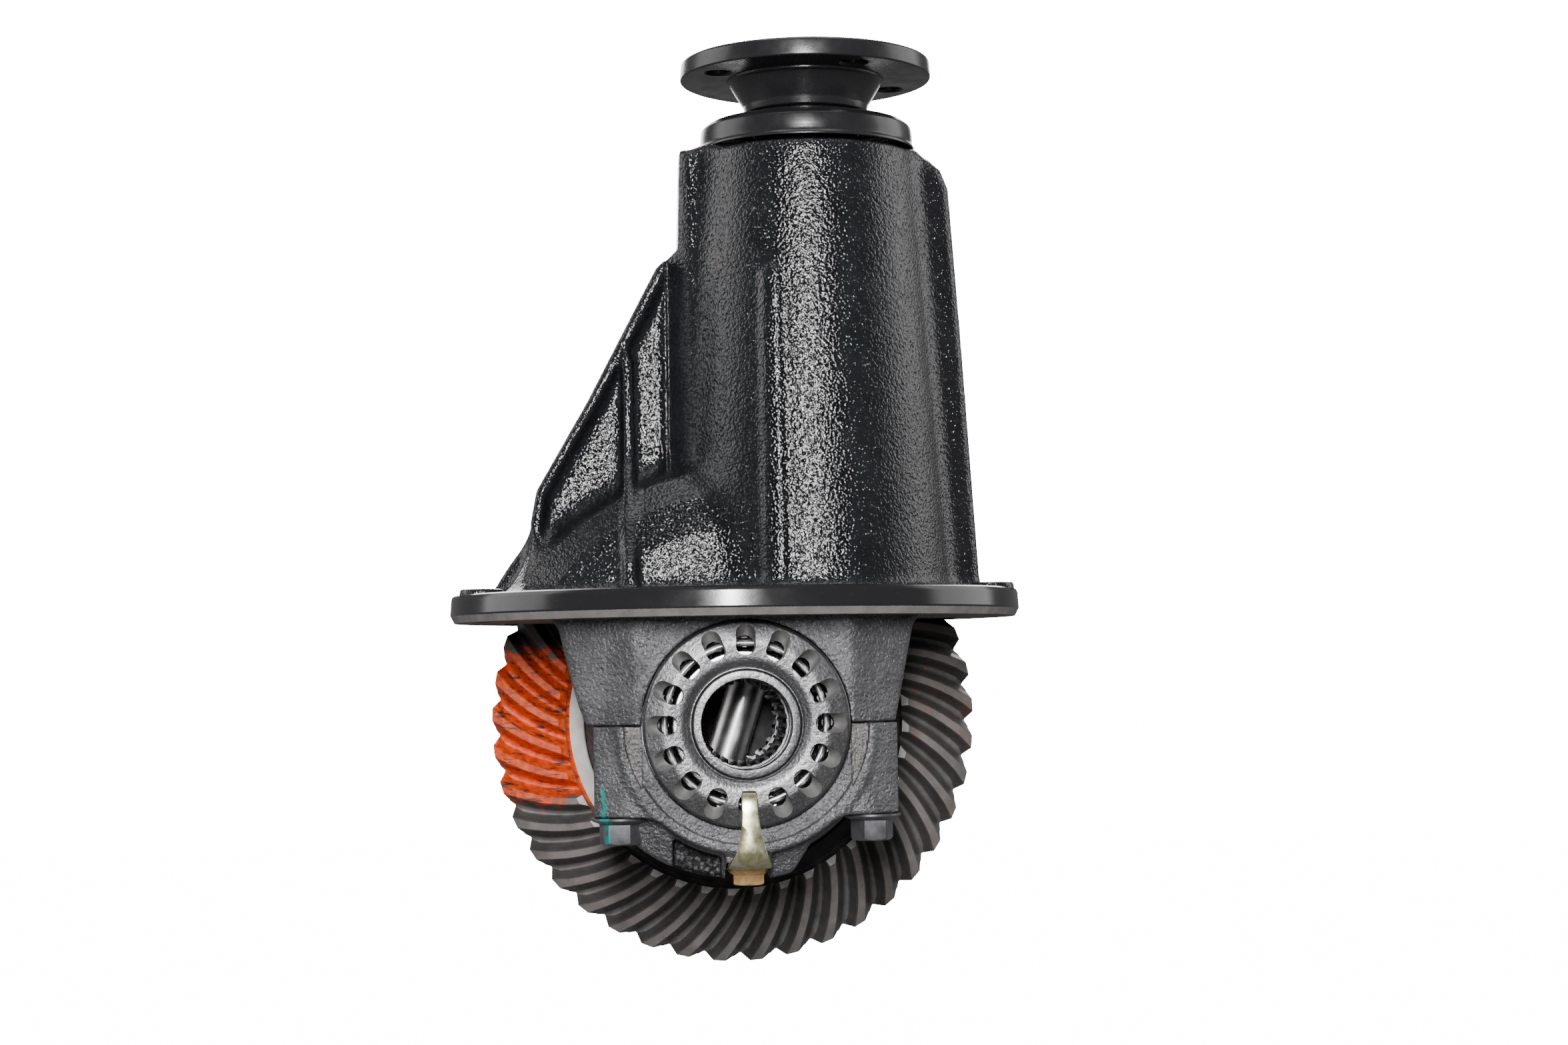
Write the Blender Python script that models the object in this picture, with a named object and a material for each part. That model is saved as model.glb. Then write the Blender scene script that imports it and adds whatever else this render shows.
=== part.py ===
"""Hypoid differential assembly: carrier housing, pinion group, ring gear and bevel differential.

Origin: centre of the mounting flange gasket face.  +Z runs up the pinion axis,
the axle axis runs along Y.  Dimensions below are millimetres.
"""
import math

import bmesh
import bpy
from mathutils import Matrix, Vector

MM = 0.001
GAP = 0.3

# axes
PINION_X = 32.0
AXLE_Z = -40.5
CROSS_TILT = math.radians(18.0)

# hypoid pair
RING_TEETH = 41
PINION_TEETH = 10
RATIO = RING_TEETH / PINION_TEETH
RING_OUTER = 100.0
RING_INNER = 70.0
RING_BORE = 62.0
RING_BACK_Y = 49.0
TIP_Y = 27.5
TIP_SLOPE = 0.17
ROOT_Y = 36.5
ROOT_SLOPE = 0.24
RING_TIP_HALF = 1.7
FLANK_SLOPE = 0.425
SPIRAL_MEAN = 0.601
SPIRAL_GAIN = 1.02
MEAN_RADIUS = 85.0
HYPOID_CLEAR = 0.7
HYPOID_LASH = 0.3

# housing
FLANGE_RADIUS = 115.0
FLANGE_THICK = 11.0
STUD_HOLES = 10
STUD_CIRCLE = 106.0
STUD_HOLE = 4.2
TUBE_TOP_Z = 190.0
TUBE_TOP_RADIUS = 44.4
TUBE_FOOT_RADIUS = 56.4
BORE_SIDE = 40.8
CAP_FRONT_Y = 89.0
CAP_BACK_Y = 60.0
REAR_BACK_Y = 65.5
CAP_BOLT_X = 47.5
CAP_BOLT_Y = 75.0
CAP_PAD_Z = -75.0
CAP_BOTTOM_Z = -92.0

# differential case
HUB_RADIUS = 24.7
HUB_BORE = 21.5
CASE_BARREL = 55.0
CAVITY = 45.5
CASE_FLANGE = 84.0
RING_BOLTS = 10
RING_BOLT_CIRCLE = 75.0

# bevel differential
SIDE_TEETH = 16
SPIDER_TEETH = 10
BEVEL_RATIO = SIDE_TEETH / SPIDER_TEETH
CONE_OUTER = 38.0
CONE_INNER = 25.0
BEVEL_LASH = 0.35
SHAFT_RADIUS = 8.0
SHAFT_HALF = 53.0
SPLINE_RADIUS = 15.2
SIDE_HUB = 21.0
BORE_INNER_END = 14.2
PLUG_Y = 17.0

# adjusters
ADJ_RADIUS = 40.5
ADJ_FACE_RADIUS = 38.9
ADJ_FRONT_Y = 91.0
ADJ_BACK_Y = 79.2
ADJ_BORE = 17.5
ADJ_SLOTS = 16
SLOT_INNER = 25.7
SLOT_OUTER = 37.5
SLOT_HALF = 3.65

# companion flange
YOKE_TOP_Z = 228.4
YOKE_RADIUS = 51.4
YOKE_THICK = 7.4
YOKE_HOLES = 4
YOKE_CIRCLE = 40.0
YOKE_HOLE = 5.25
YOKE_PHASE = math.radians(25.0)
PINION_SPLINE = 14.5

COLORS = {
    "black_paint": ((0.012, 0.012, 0.013, 1), 0.28, 0.3),
    "satin_black": ((0.016, 0.016, 0.018, 1), 0.35, 0.5),
    "cast_iron": ((0.11, 0.11, 0.115, 1), 0.55, 0.8),
    "adjuster_steel": ((0.2, 0.2, 0.21, 1), 0.42, 0.9),
    "black_oxide": ((0.025, 0.024, 0.026, 1), 0.38, 0.85),
    "case_iron": ((0.06, 0.06, 0.062, 1), 0.5, 0.8),
    "bearing_steel": ((0.55, 0.55, 0.56, 1), 0.2, 1.0),
    "cage_steel": ((0.4, 0.4, 0.41, 1), 0.32, 1.0),
    "bolt_dark": ((0.09, 0.09, 0.095, 1), 0.4, 0.9),
    "yellow_zinc": ((0.55, 0.43, 0.2, 1), 0.35, 0.9),
    "copper_zinc": ((0.5, 0.3, 0.14, 1), 0.35, 0.9),
    "gear_steel": ((0.16, 0.16, 0.17, 1), 0.35, 0.9),
    "shaft_steel": ((0.6, 0.6, 0.62, 1), 0.18, 1.0),
    "seal_rubber": ((0.03, 0.03, 0.032, 1), 0.6, 0.0),
    "bronze": ((0.5, 0.33, 0.15, 1), 0.4, 1.0),
}


# ---------------------------------------------------------------- basics
def clear_scene():
    for obj in list(bpy.data.objects):
        bpy.data.objects.remove(obj, do_unlink=True)
    for mesh in list(bpy.data.meshes):
        bpy.data.meshes.remove(mesh)
    for mat in list(bpy.data.materials):
        bpy.data.materials.remove(mat)


def material(name, kind):
    color, rough, metal = COLORS[kind]
    mat = bpy.data.materials.new("mat_" + name)
    mat.use_nodes = True
    shader = mat.node_tree.nodes["Principled BSDF"]
    shader.inputs["Base Color"].default_value = color
    shader.inputs["Roughness"].default_value = rough
    shader.inputs["Metallic"].default_value = metal
    mat.diffuse_color = color
    return mat


def smooth_by_angle(mesh, degrees=35.0):
    bm = bmesh.new()
    bm.from_mesh(mesh)
    limit = math.radians(degrees)
    for face in bm.faces:
        face.smooth = True
    for edge in bm.edges:
        sharp = len(edge.link_faces) != 2 or edge.calc_face_angle(0.0) > limit
        edge.smooth = not sharp
    bm.to_mesh(mesh)
    bm.free()


def finish_mesh(name, bm):
    """Scale to metres, face the normals outwards and store as mesh data."""
    bmesh.ops.recalc_face_normals(bm, faces=bm.faces[:])
    bmesh.ops.scale(bm, vec=(MM, MM, MM), verts=bm.verts[:])
    mesh = bpy.data.meshes.new(name)
    bm.to_mesh(mesh)
    bm.free()
    return mesh


def to_local(mesh, origin):
    mesh.transform(Matrix.Translation(-Vector(origin) * MM))


def place(name, mesh, kind, origin=(0, 0, 0)):
    to_local(mesh, origin)
    smooth_by_angle(mesh)
    obj = bpy.data.objects.new(name, mesh)
    obj.location = Vector(origin) * MM
    bpy.context.scene.collection.objects.link(obj)
    mesh.materials.clear()
    mesh.materials.append(material(name, kind))
    return obj


def frame(axis, centre):
    """Matrix taking local Z onto the given axis through the centre."""
    turn = Vector(axis).to_track_quat("Z", "Y").to_matrix().to_4x4()
    return Matrix.Translation(Vector(centre)) @ turn


# ---------------------------------------------------------------- solids
def bridge(bm, low, high):
    """Side faces between two closed loops; one may have a whole multiple of the other's points."""
    if len(low) < len(high):
        bridge(bm, high, low)
        return
    step = len(low) // len(high)
    count = len(low)
    for i in range(count):
        j = (i + 1) % count
        a = high[i // step]
        b = high[((i + 1) // step) % len(high)]
        ring = [low[i], low[j], b, a] if a is not b else [low[i], low[j], a]
        bm.faces.new(ring)


def cap(bm, loop):
    bm.faces.new(loop)


def circle(bm, radius, height, count, phase=0.0):
    turn = 2 * math.pi / count
    return [
        bm.verts.new((
            radius * math.cos(phase + i * turn),
            radius * math.sin(phase + i * turn),
            height,
        ))
        for i in range(count)
    ]


def lathe(profile, seg, axis=(0, 0, 1), centre=(0, 0, 0), closed=True, phase=0.0):
    """Revolve (radius, height) points; closed joins last to first, else the ends are capped."""
    bm = bmesh.new()
    loops = [circle(bm, r, h, seg, phase) for r, h in profile]
    for a, b in zip(loops, loops[1:]):
        bridge(bm, a, b)
    if closed:
        bridge(bm, loops[-1], loops[0])
    else:
        cap(bm, loops[0])
        cap(bm, loops[-1])
    bmesh.ops.transform(bm, matrix=frame(axis, centre), verts=bm.verts[:])
    return bm


def rod(radius, low, high, seg, axis=(0, 0, 1), centre=(0, 0, 0)):
    return lathe([(radius, low), (radius, high)], seg, axis, centre, closed=False)


def lofted(sections):
    """Solid through stacked polygons given as lists of 3-D points."""
    bm = bmesh.new()
    loops = [[bm.verts.new(p) for p in section] for section in sections]
    for a, b in zip(loops, loops[1:]):
        bridge(bm, a, b)
    cap(bm, loops[0])
    cap(bm, loops[-1])
    return bm


def plate_xz(outline, y_low, y_high):
    return lofted([[(x, y, z) for x, z in outline] for y in (y_low, y_high)])


def plate_xy(outline, z_low, z_high):
    return lofted([[(x, y, z) for x, y in outline] for z in (z_low, z_high)])


def hexagon(across_flats, phase=0.0):
    radius = across_flats / math.sqrt(3.0)
    return [
        (radius * math.cos(phase + i * math.pi / 3), radius * math.sin(phase + i * math.pi / 3))
        for i in range(6)
    ]


def temp_object(bm):
    mesh = finish_mesh("temp", bm)
    obj = bpy.data.objects.new("temp", mesh)
    bpy.context.scene.collection.objects.link(obj)
    return obj


def combine(target, tools, operation):
    """Boolean a list of solids onto the target, one after the other."""
    for bm in tools:
        tool = temp_object(bm)
        mod = target.modifiers.new("cut", "BOOLEAN")
        mod.operation = operation
        mod.solver = "EXACT"
        mod.object = tool
        graph = bpy.context.evaluated_depsgraph_get()
        done = bpy.data.meshes.new_from_object(target.evaluated_get(graph))
        target.modifiers.clear()
        old = target.data
        target.data = done
        bpy.data.meshes.remove(old)
        bpy.data.objects.remove(tool, do_unlink=True)


def solid(base, add=(), cut=()):
    """Mesh made of a base solid with others added and cut away."""
    target = temp_object(base)
    combine(target, add, "UNION")
    combine(target, cut, "DIFFERENCE")
    mesh = target.data
    bpy.data.objects.remove(target, do_unlink=True)
    bm = bmesh.new()
    bm.from_mesh(mesh)
    bmesh.ops.remove_doubles(bm, verts=bm.verts[:], dist=0.00001)
    bmesh.ops.dissolve_limit(
        bm, angle_limit=0.002, verts=bm.verts[:], edges=bm.edges[:], delimit={"NORMAL"}
    )
    bmesh.ops.triangulate(bm, faces=bm.faces[:])
    bm.to_mesh(mesh)
    bm.free()
    return mesh


# ---------------------------------------------------------------- hypoid pair
def spiral_angle(radius):
    """Angular position of a ring tooth's centre line at a radius."""
    ratio = radius / MEAN_RADIUS
    return -((SPIRAL_MEAN - SPIRAL_GAIN) * math.log(ratio) + SPIRAL_GAIN * (ratio - 1.0))


def tip_y(radius):
    return TIP_Y - TIP_SLOPE * (RING_OUTER - radius)


def root_y(radius):
    return ROOT_Y - ROOT_SLOPE * (RING_OUTER - radius)


def tooth_half(radius, y):
    """Half angle of a ring tooth at a radius and depth."""
    return (RING_TIP_HALF * radius / MEAN_RADIUS + FLANK_SLOPE * (y - tip_y(radius))) / radius


def ring_point(bm, radius, angle, y):
    return bm.verts.new((radius * math.cos(angle), y, AXLE_Z + radius * math.sin(angle)))


def ring_tooth_loop(bm, radius):
    loop = []
    tip = tip_y(radius)
    root = root_y(radius)
    for k in range(RING_TEETH):
        mid = spiral_angle(radius) + k * 2 * math.pi / RING_TEETH
        base = tooth_half(radius, root)
        top = tooth_half(radius, tip)
        for offset, y in ((-base, root), (-top, tip), (top, tip), (base, root)):
            loop.append(ring_point(bm, radius, mid + offset, y))
    return loop


def ring_plain_loop(bm, radius, y, twist):
    count = RING_TEETH * 2
    return [
        ring_point(bm, radius, twist + (i - 0.25) * 2 * math.pi / count, y) for i in range(count)
    ]


def ring_gear():
    bm = bmesh.new()
    radii = (RING_INNER, 80.0, 90.0, RING_OUTER)
    teeth = [ring_tooth_loop(bm, r) for r in radii]
    for a, b in zip(teeth, teeth[1:]):
        bridge(bm, a, b)
    inner = ring_plain_loop(bm, RING_INNER - 1.5, root_y(RING_INNER) + 1.0, spiral_angle(RING_INNER))
    mouth = ring_plain_loop(bm, RING_BORE, root_y(RING_INNER) + 1.0, spiral_angle(RING_INNER))
    outer = ring_plain_loop(bm, RING_OUTER - 1.0, ROOT_Y + 4.5, spiral_angle(RING_OUTER))
    heel = ring_plain_loop(bm, 91.0, RING_BACK_Y, spiral_angle(RING_OUTER))
    back = ring_plain_loop(bm, RING_BORE, RING_BACK_Y, spiral_angle(RING_INNER))
    bridge(bm, teeth[0], inner)
    bridge(bm, inner, mouth)
    bridge(bm, teeth[-1], outer)
    bridge(bm, outer, heel)
    bridge(bm, heel, back)
    bridge(bm, back, mouth)
    return finish_mesh("ring_gear", bm)


def ring_depth(surface, z, radius_limit):
    """Smallest distance from the pinion axis to a ring gear surface at height z."""
    best = radius_limit
    h = z - AXLE_Z
    for i in range(121):
        x = PINION_X + (i - 60) * 0.75
        rho = math.hypot(x, h)
        if RING_INNER - 0.5 <= rho <= RING_OUTER + 0.5:
            best = min(best, math.hypot(x - PINION_X, surface(rho)))
    return best


def pinion_space(radius, z):
    """Angular interval a ring tooth sweeps through the pinion blank at this radius and height."""
    low, high = None, None
    h = z - AXLE_Z
    for i in range(721):
        beta = math.pi * (0.05 + 0.9 * i / 720)
        x = PINION_X + radius * math.cos(beta)
        y = radius * math.sin(beta)
        rho = math.hypot(x, h)
        if not RING_INNER - 1.5 <= rho <= RING_OUTER + 1.0 or y < tip_y(rho) - 0.2:
            continue
        centre = beta + RATIO * (spiral_angle(rho) - math.atan2(h, x))
        half = RATIO * tooth_half(rho, y) + HYPOID_LASH / radius
        low = centre - half if low is None else min(low, centre - half)
        high = centre + half if high is None else max(high, centre + half)
    return low, high


PINION_STATIONS = (19.5, 24.0, 28.5, 33.0, 37.5, 42.0, 46.5, 51.0, 55.5)
PINION_BACK_Z = 57.5


def pinion_profile(z):
    tip = ring_depth(root_y, z, 36.0) - HYPOID_CLEAR
    root = ring_depth(tip_y, z, 30.0) - HYPOID_CLEAR
    return root, min(tip, 33.6)


def pinion_tooth_loop(bm, z):
    root, tip = pinion_profile(z)
    pitch = 2 * math.pi / PINION_TEETH
    flanks = []
    for share in (0.0, 0.5, 1.0):
        radius = root + share * (tip - root)
        span = pinion_space(radius, z)
        if span[0] is None or span[1] - span[0] > pitch * 0.96:
            span = flanks[-1][1] if span[0] is not None and flanks else span
        flanks.append((radius, span))
    known = [item for item in flanks if item[1][0] is not None]
    flanks = [(r, s if s[0] is not None else known[0][1]) for r, s in flanks]
    loop = []
    for k in range(PINION_TEETH):
        turn = k * pitch
        left = [(r, s[1] + turn) for r, s in flanks]
        right = [(r, s[0] + pitch + turn) for r, s in reversed(flanks)]
        for r, angle in left + right:
            loop.append(bm.verts.new((
                PINION_X + r * math.cos(angle), r * math.sin(angle), z,
            )))
    return loop


def pinion_shaft_loops(bm, count, twist):
    """Plain shaft from the back of the head to the threaded end, as (radius, height) steps."""
    steps = (
        (22.0, PINION_BACK_Z), (22.0, 58.6), (17.4, 58.6), (17.4, 151.0), (17.0, 151.0),
        (17.0, 172.0), (PINION_SPLINE, 173.0), (PINION_SPLINE, 208.0), (11.7, 209.0),
        (11.7, 225.0), (10.7, 226.0),
    )
    loops = []
    for radius, z in steps:
        loops.append([
            bm.verts.new((
                PINION_X + radius * math.cos(twist + i * 2 * math.pi / count),
                radius * math.sin(twist + i * 2 * math.pi / count),
                z,
            ))
            for i in range(count)
        ])
    return loops


def drive_pinion():
    bm = bmesh.new()
    teeth = [pinion_tooth_loop(bm, z) for z in PINION_STATIONS]
    for a, b in zip(teeth, teeth[1:]):
        bridge(bm, a, b)
    count = PINION_TEETH * 2
    first = teeth[0][0].co
    last = teeth[-1][0].co
    nose_twist = math.atan2(first.y, first.x - PINION_X)
    back_twist = math.atan2(last.y, last.x - PINION_X)
    nose = [
        bm.verts.new((
            PINION_X + 15.0 * math.cos(nose_twist + i * 2 * math.pi / count),
            15.0 * math.sin(nose_twist + i * 2 * math.pi / count),
            PINION_STATIONS[0],
        ))
        for i in range(count)
    ]
    bridge(bm, teeth[0], nose)
    cap(bm, nose)
    loops = pinion_shaft_loops(bm, count, back_twist)
    bridge(bm, teeth[-1], loops[0])
    for a, b in zip(loops, loops[1:]):
        bridge(bm, a, b)
    cap(bm, loops[-1])
    return finish_mesh("drive_pinion", bm)


# ---------------------------------------------------------------- bevel differential
SIDE_PITCH = math.atan2(SIDE_TEETH, SPIDER_TEETH)
SPIDER_PITCH = math.atan2(SPIDER_TEETH, SIDE_TEETH)
SIDE_ADD = math.radians(4.6)
SIDE_DED = math.radians(5.6)
BEVEL_FLANK = 0.42


def side_half(polar):
    """Half angle of a side gear tooth at a polar angle from the gear axis."""
    pitch_half = math.pi / SIDE_TEETH * 0.47
    return pitch_half - BEVEL_FLANK * (polar - SIDE_PITCH) / math.sin(polar)


def cross_axis():
    return Vector((math.sin(CROSS_TILT), 0.0, math.cos(CROSS_TILT)))


def apex():
    return Vector((0.0, 0.0, AXLE_Z))


def spider_space(polar):
    """Angular interval swept through a spider gear by one side gear tooth."""
    c = cross_axis()
    e1 = Vector((0, -1, 0))
    e2 = c.cross(e1)
    phase = math.atan2(c.z, c.x)
    low, high = 9.0, -9.0
    for i in range(401):
        beta = -1.4 + 2.8 * i / 400
        w = c * math.cos(polar) + (e1 * math.cos(beta) + e2 * math.sin(beta)) * math.sin(polar)
        side_polar = math.acos(-w.y)
        if side_polar > SIDE_PITCH + SIDE_ADD + 0.01 or side_polar < SIDE_PITCH - SIDE_DED - 0.1:
            continue
        centre = beta + BEVEL_RATIO * (math.atan2(w.z, w.x) - phase)
        half = BEVEL_RATIO * max(side_half(side_polar), 0.0)
        low = min(low, centre - half)
        high = max(high, centre + half)
    return low, high


def polar_point(bm, axis, e1, e2, length, polar, angle, slide=0.0):
    ray = axis * math.cos(polar) + (e1 * math.cos(angle) + e2 * math.sin(angle)) * math.sin(polar)
    return bm.verts.new(apex() + ray * length + axis * slide)


def turned_loop(bm, axis, e1, e2, radius, height, count, twist=0.0):
    loop = []
    for i in range(count):
        angle = twist + i * 2 * math.pi / count
        ray = e1 * math.cos(angle) + e2 * math.sin(angle)
        loop.append(bm.verts.new(apex() + axis * height + ray * radius))
    return loop


def spider_gear(sign):
    axis = cross_axis() * sign
    e1 = Vector((0, -1, 0))
    e2 = axis.cross(e1)
    bm = bmesh.new()
    polars = (SPIDER_PITCH - SIDE_ADD - 0.015, SPIDER_PITCH, SPIDER_PITCH + SIDE_DED - 0.02)
    spans = [(p, spider_space(max(p, SPIDER_PITCH - SIDE_ADD))) for p in polars]
    pitch = 2 * math.pi / SPIDER_TEETH
    loops = []
    for length in (CONE_INNER + 0.5, CONE_OUTER - 0.5):
        lash = BEVEL_LASH / (length * math.sin(SPIDER_PITCH))
        loop = []
        for k in range(SPIDER_TEETH):
            left = [(p, s[1] + lash + k * pitch) for p, s in spans]
            right = [(p, s[0] - lash + (k + 1) * pitch) for p, s in reversed(spans)]
            for p, angle in left + right:
                loop.append(polar_point(bm, axis, e1, e2, length, p, angle))
        loops.append(loop)
    bridge(bm, loops[0], loops[1])
    twist = spans[0][1][1]
    bore = SHAFT_RADIUS + GAP
    steps = ((17.0, 36.4), (15.5, 41.5), (bore, 42.7), (bore, 22.3), (10.2, 22.3))
    plain = [turned_loop(bm, axis, e1, e2, r, h, SPIDER_TEETH * 3, twist) for r, h in steps]
    chain = [loops[1]] + plain + [loops[0]]
    for a, b in zip(chain, chain[1:]):
        bridge(bm, a, b)
    return finish_mesh("spider_gear", bm)


def side_gear(sign):
    """Side gear with a splined through bore."""
    axis = Vector((0, sign, 0))
    e1 = cross_axis()
    e2 = axis.cross(e1)
    bm = bmesh.new()
    root, tip = SIDE_PITCH - SIDE_DED, SIDE_PITCH + SIDE_ADD
    loops = []
    for length in (CONE_INNER, CONE_OUTER):
        loop = []
        for k in range(SIDE_TEETH):
            mid = k * 2 * math.pi / SIDE_TEETH
            for polar, side in ((root, -1), (tip, -1), (tip, 1), (root, 1)):
                angle = mid + side * side_half(polar)
                loop.append(polar_point(bm, axis, e1, e2, length, polar, angle))
        loops.append(loop)
    bridge(bm, loops[0], loops[1])
    count = SIDE_TEETH * 2
    twist = -side_half(root)
    steps = ((33.0, 25.2), (33.0, 28.6), (SIDE_HUB, 28.6), (SIDE_HUB, 60.0), (SPLINE_RADIUS, 60.0))
    plain = [turned_loop(bm, axis, e1, e2, r, h, count, twist) for r, h in steps]
    inner = turned_loop(bm, axis, e1, e2, SPLINE_RADIUS, BORE_INNER_END, count, twist)
    for loop in (plain[-1], inner):
        spread_grooves(loop, axis)
    chain = [loops[1]] + plain + [inner, loops[0]]
    for a, b in zip(chain, chain[1:]):
        bridge(bm, a, b)
    return finish_mesh("side_gear", bm)


def spread_grooves(loop, axis):
    """Move every second vertex of a bore loop out to the groove radius."""
    for i, vert in enumerate(loop):
        if i % 2:
            foot = apex() + axis * axis.dot(vert.co - apex())
            vert.co = foot + (vert.co - foot) * ((SPLINE_RADIUS + 1.5) / SPLINE_RADIUS)


def bore_plug(sign):
    """Disc that closes the inner end of a side gear's splined bore."""
    axis = Vector((0, sign, 0))
    e1 = cross_axis()
    e2 = axis.cross(e1)
    bm = bmesh.new()
    twist = -side_half(SIDE_PITCH - SIDE_DED)
    loops = [
        turned_loop(bm, axis, e1, e2, SPLINE_RADIUS, height, SIDE_TEETH * 2, twist)
        for height in (BORE_INNER_END + 0.2, PLUG_Y)
    ]
    for loop in loops:
        spread_grooves(loop, axis)
        cap(bm, loop)
    bridge(bm, loops[0], loops[1])
    return finish_mesh("bore_plug", bm)


# ---------------------------------------------------------------- bearings
def bearing_cup(outer, low, high, race_low, race_high, axis, centre, seg):
    bm = lathe([(outer, low), (outer, high), (race_high, high), (race_low, low)], seg, axis, centre)
    return finish_mesh("cup", bm)


def bearing_cone(bore, low, high, race_low, race_high, rib, axis, centre, seg):
    profile = [
        (bore, low), (bore, high), (rib, high), (rib, high - 2.4),
        (race_high, high - 2.4), (race_low, low),
    ]
    return finish_mesh("cone", lathe(profile, seg, axis, centre))


def bearing_cage(mid_low, mid_high, low, high, half, rollers, axis, centre):
    """Cage band with its tapered rollers, the rollers standing proud on both sides."""
    bm = bmesh.new()
    loops = []
    spread = ((0.0, 1.0), (0.5, 0.25))
    for mid, height, side in (
        (mid_low, low, 1), (mid_high, high, 1), (mid_high, high, -1), (mid_low, low, -1)
    ):
        loop = []
        for k in range(rollers):
            for share, bulge in spread:
                angle = (k + share) * 2 * math.pi / rollers
                r = mid + side * half * bulge
                loop.append(bm.verts.new((r * math.cos(angle), r * math.sin(angle), height)))
        loops.append(loop)
    for i in range(4):
        bridge(bm, loops[i], loops[(i + 1) % 4])
    bmesh.ops.transform(bm, matrix=frame(axis, centre), verts=bm.verts[:])
    return finish_mesh("cage", bm)


def side_bearing(side, sign):
    axis = (0, -sign, 0)
    centre = (0, 0, AXLE_Z)
    lows = -78.9
    cup = bearing_cup(ADJ_RADIUS, lows, -62.0, 33.8, 37.2, axis, centre, 28)
    cone = bearing_cone(HUB_RADIUS + GAP, -78.0, -59.3, 27.4, 30.8, 33.2, axis, centre, 24)
    cage = bearing_cage(30.75, 33.6, -77.4, -62.6, 2.85, 16, axis, centre)
    base = (0, 0, AXLE_Z)
    place("side_bearing_cup_" + side, cup, "bearing_steel", base)
    place("side_bearing_cone_" + side, cone, "bearing_steel", base)
    place("side_bearing_rollers_" + side, cage, "cage_steel", base)


def pinion_bearing(name, bore, outer, low, high, sign):
    """Tapered bearing on the pinion; sign +1 has its large roller ends at the low side."""
    axis = (0, 0, -sign)
    a, b = sorted((-sign * low, -sign * high))
    centre = (PINION_X, 0, 0)
    race = bore + 4.0
    cup_race = outer - 3.2
    cup = bearing_cup(outer, a, b - 3.0, cup_race - 3.2, cup_race, axis, centre, 28)
    cone = bearing_cone(bore, a + 1.5, b, race - 1.6, race + 1.4, cup_race - 2.4, axis, centre, 24)
    low_mid = (race - 1.6 + cup_race - 3.2) / 2
    high_mid = (race + 1.4 + cup_race) / 2
    half = (cup_race - 3.2 - race + 1.6) / 2 - 0.45
    cage = bearing_cage(low_mid + 0.1, high_mid - 0.1, a + 2.0, b - 3.4, half, 14, axis, centre)
    base = (PINION_X, 0, 0)
    place(name + "_bearing_cup", cup, "bearing_steel", base)
    place(name + "_bearing_cone", cone, "bearing_steel", base)
    place(name + "_bearing_rollers", cage, "cage_steel", base)


# ---------------------------------------------------------------- housing
WEB_OUTLINE = (
    (-20.4, 189.0), (-21.8, 148.9), (-30.6, 142.2), (-59.2, 87.8), (-79.6, 52.7),
    (-81.3, 36.5), (-96.3, 18.3), (-98.0, 5.0), (20.0, 5.0), (20.0, 189.0),
)
RIB_OUTLINE = (
    (81.1, 186.9), (86.5, 183.0), (89.4, 175.0), (93.5, 116.5), (99.5, 15.1),
    (100.0, 5.0), (40.0, 5.0), (40.0, 186.9),
)
PEDESTAL_TOP = (
    (-71.0, -70.0), (-40.0, -CAP_FRONT_Y), (36.0, -CAP_FRONT_Y), (66.7, -70.0),
    (64.0, -CAP_BACK_Y), (-66.0, -CAP_BACK_Y),
)
PEDESTAL_FOOT = (
    (-60.0, -75.0), (-38.0, -CAP_FRONT_Y), (35.0, -CAP_FRONT_Y), (57.0, -75.0),
    (56.0, -CAP_BACK_Y), (-58.0, -CAP_BACK_Y),
)


def rear_side(points):
    """Plan outline mirrored to the ring gear side, where the pedestal is thinner."""
    return [(x, max(-y, REAR_BACK_Y)) for x, y in points]


def pedestal(top, foot):
    """Bearing pedestal tapering from the flange down to the parting line."""
    return lofted([
        [(x, y, 4.0) for x, y in top],
        [(x, y, -2.0) for x, y in top],
        [(x, y, AXLE_Z) for x, y in foot],
    ])


def axle_lathe(profile, seg, closed=False):
    return lathe(profile, seg, (0, 1, 0), (0, 0, AXLE_Z), closed)


def block(x_low, x_high, y_low, y_high, z_low, z_high):
    outline = ((x_low, y_low), (x_high, y_low), (x_high, y_high), (x_low, y_high))
    return plate_xy(outline, z_low, z_high)


def clipped_hood():
    """Hood over the ring gear, kept above the flange."""
    return lifted(axle_lathe([(109.0, 15.0), (109.0, 47.0), (93.0, 71.0)], 40), 6.0)


def lifted(bm, floor):
    """The part of a solid that lies above a height."""
    mesh = solid(bm, cut=[block(-130, 130, -130, 130, -160, floor)])
    bm = bmesh.new()
    bm.from_mesh(mesh)
    bmesh.ops.scale(bm, vec=(1 / MM, 1 / MM, 1 / MM), verts=bm.verts[:])
    return bm


def stud_angles():
    return [math.radians(18 + 360 / STUD_HOLES * k) for k in range(STUD_HOLES)]


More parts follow.
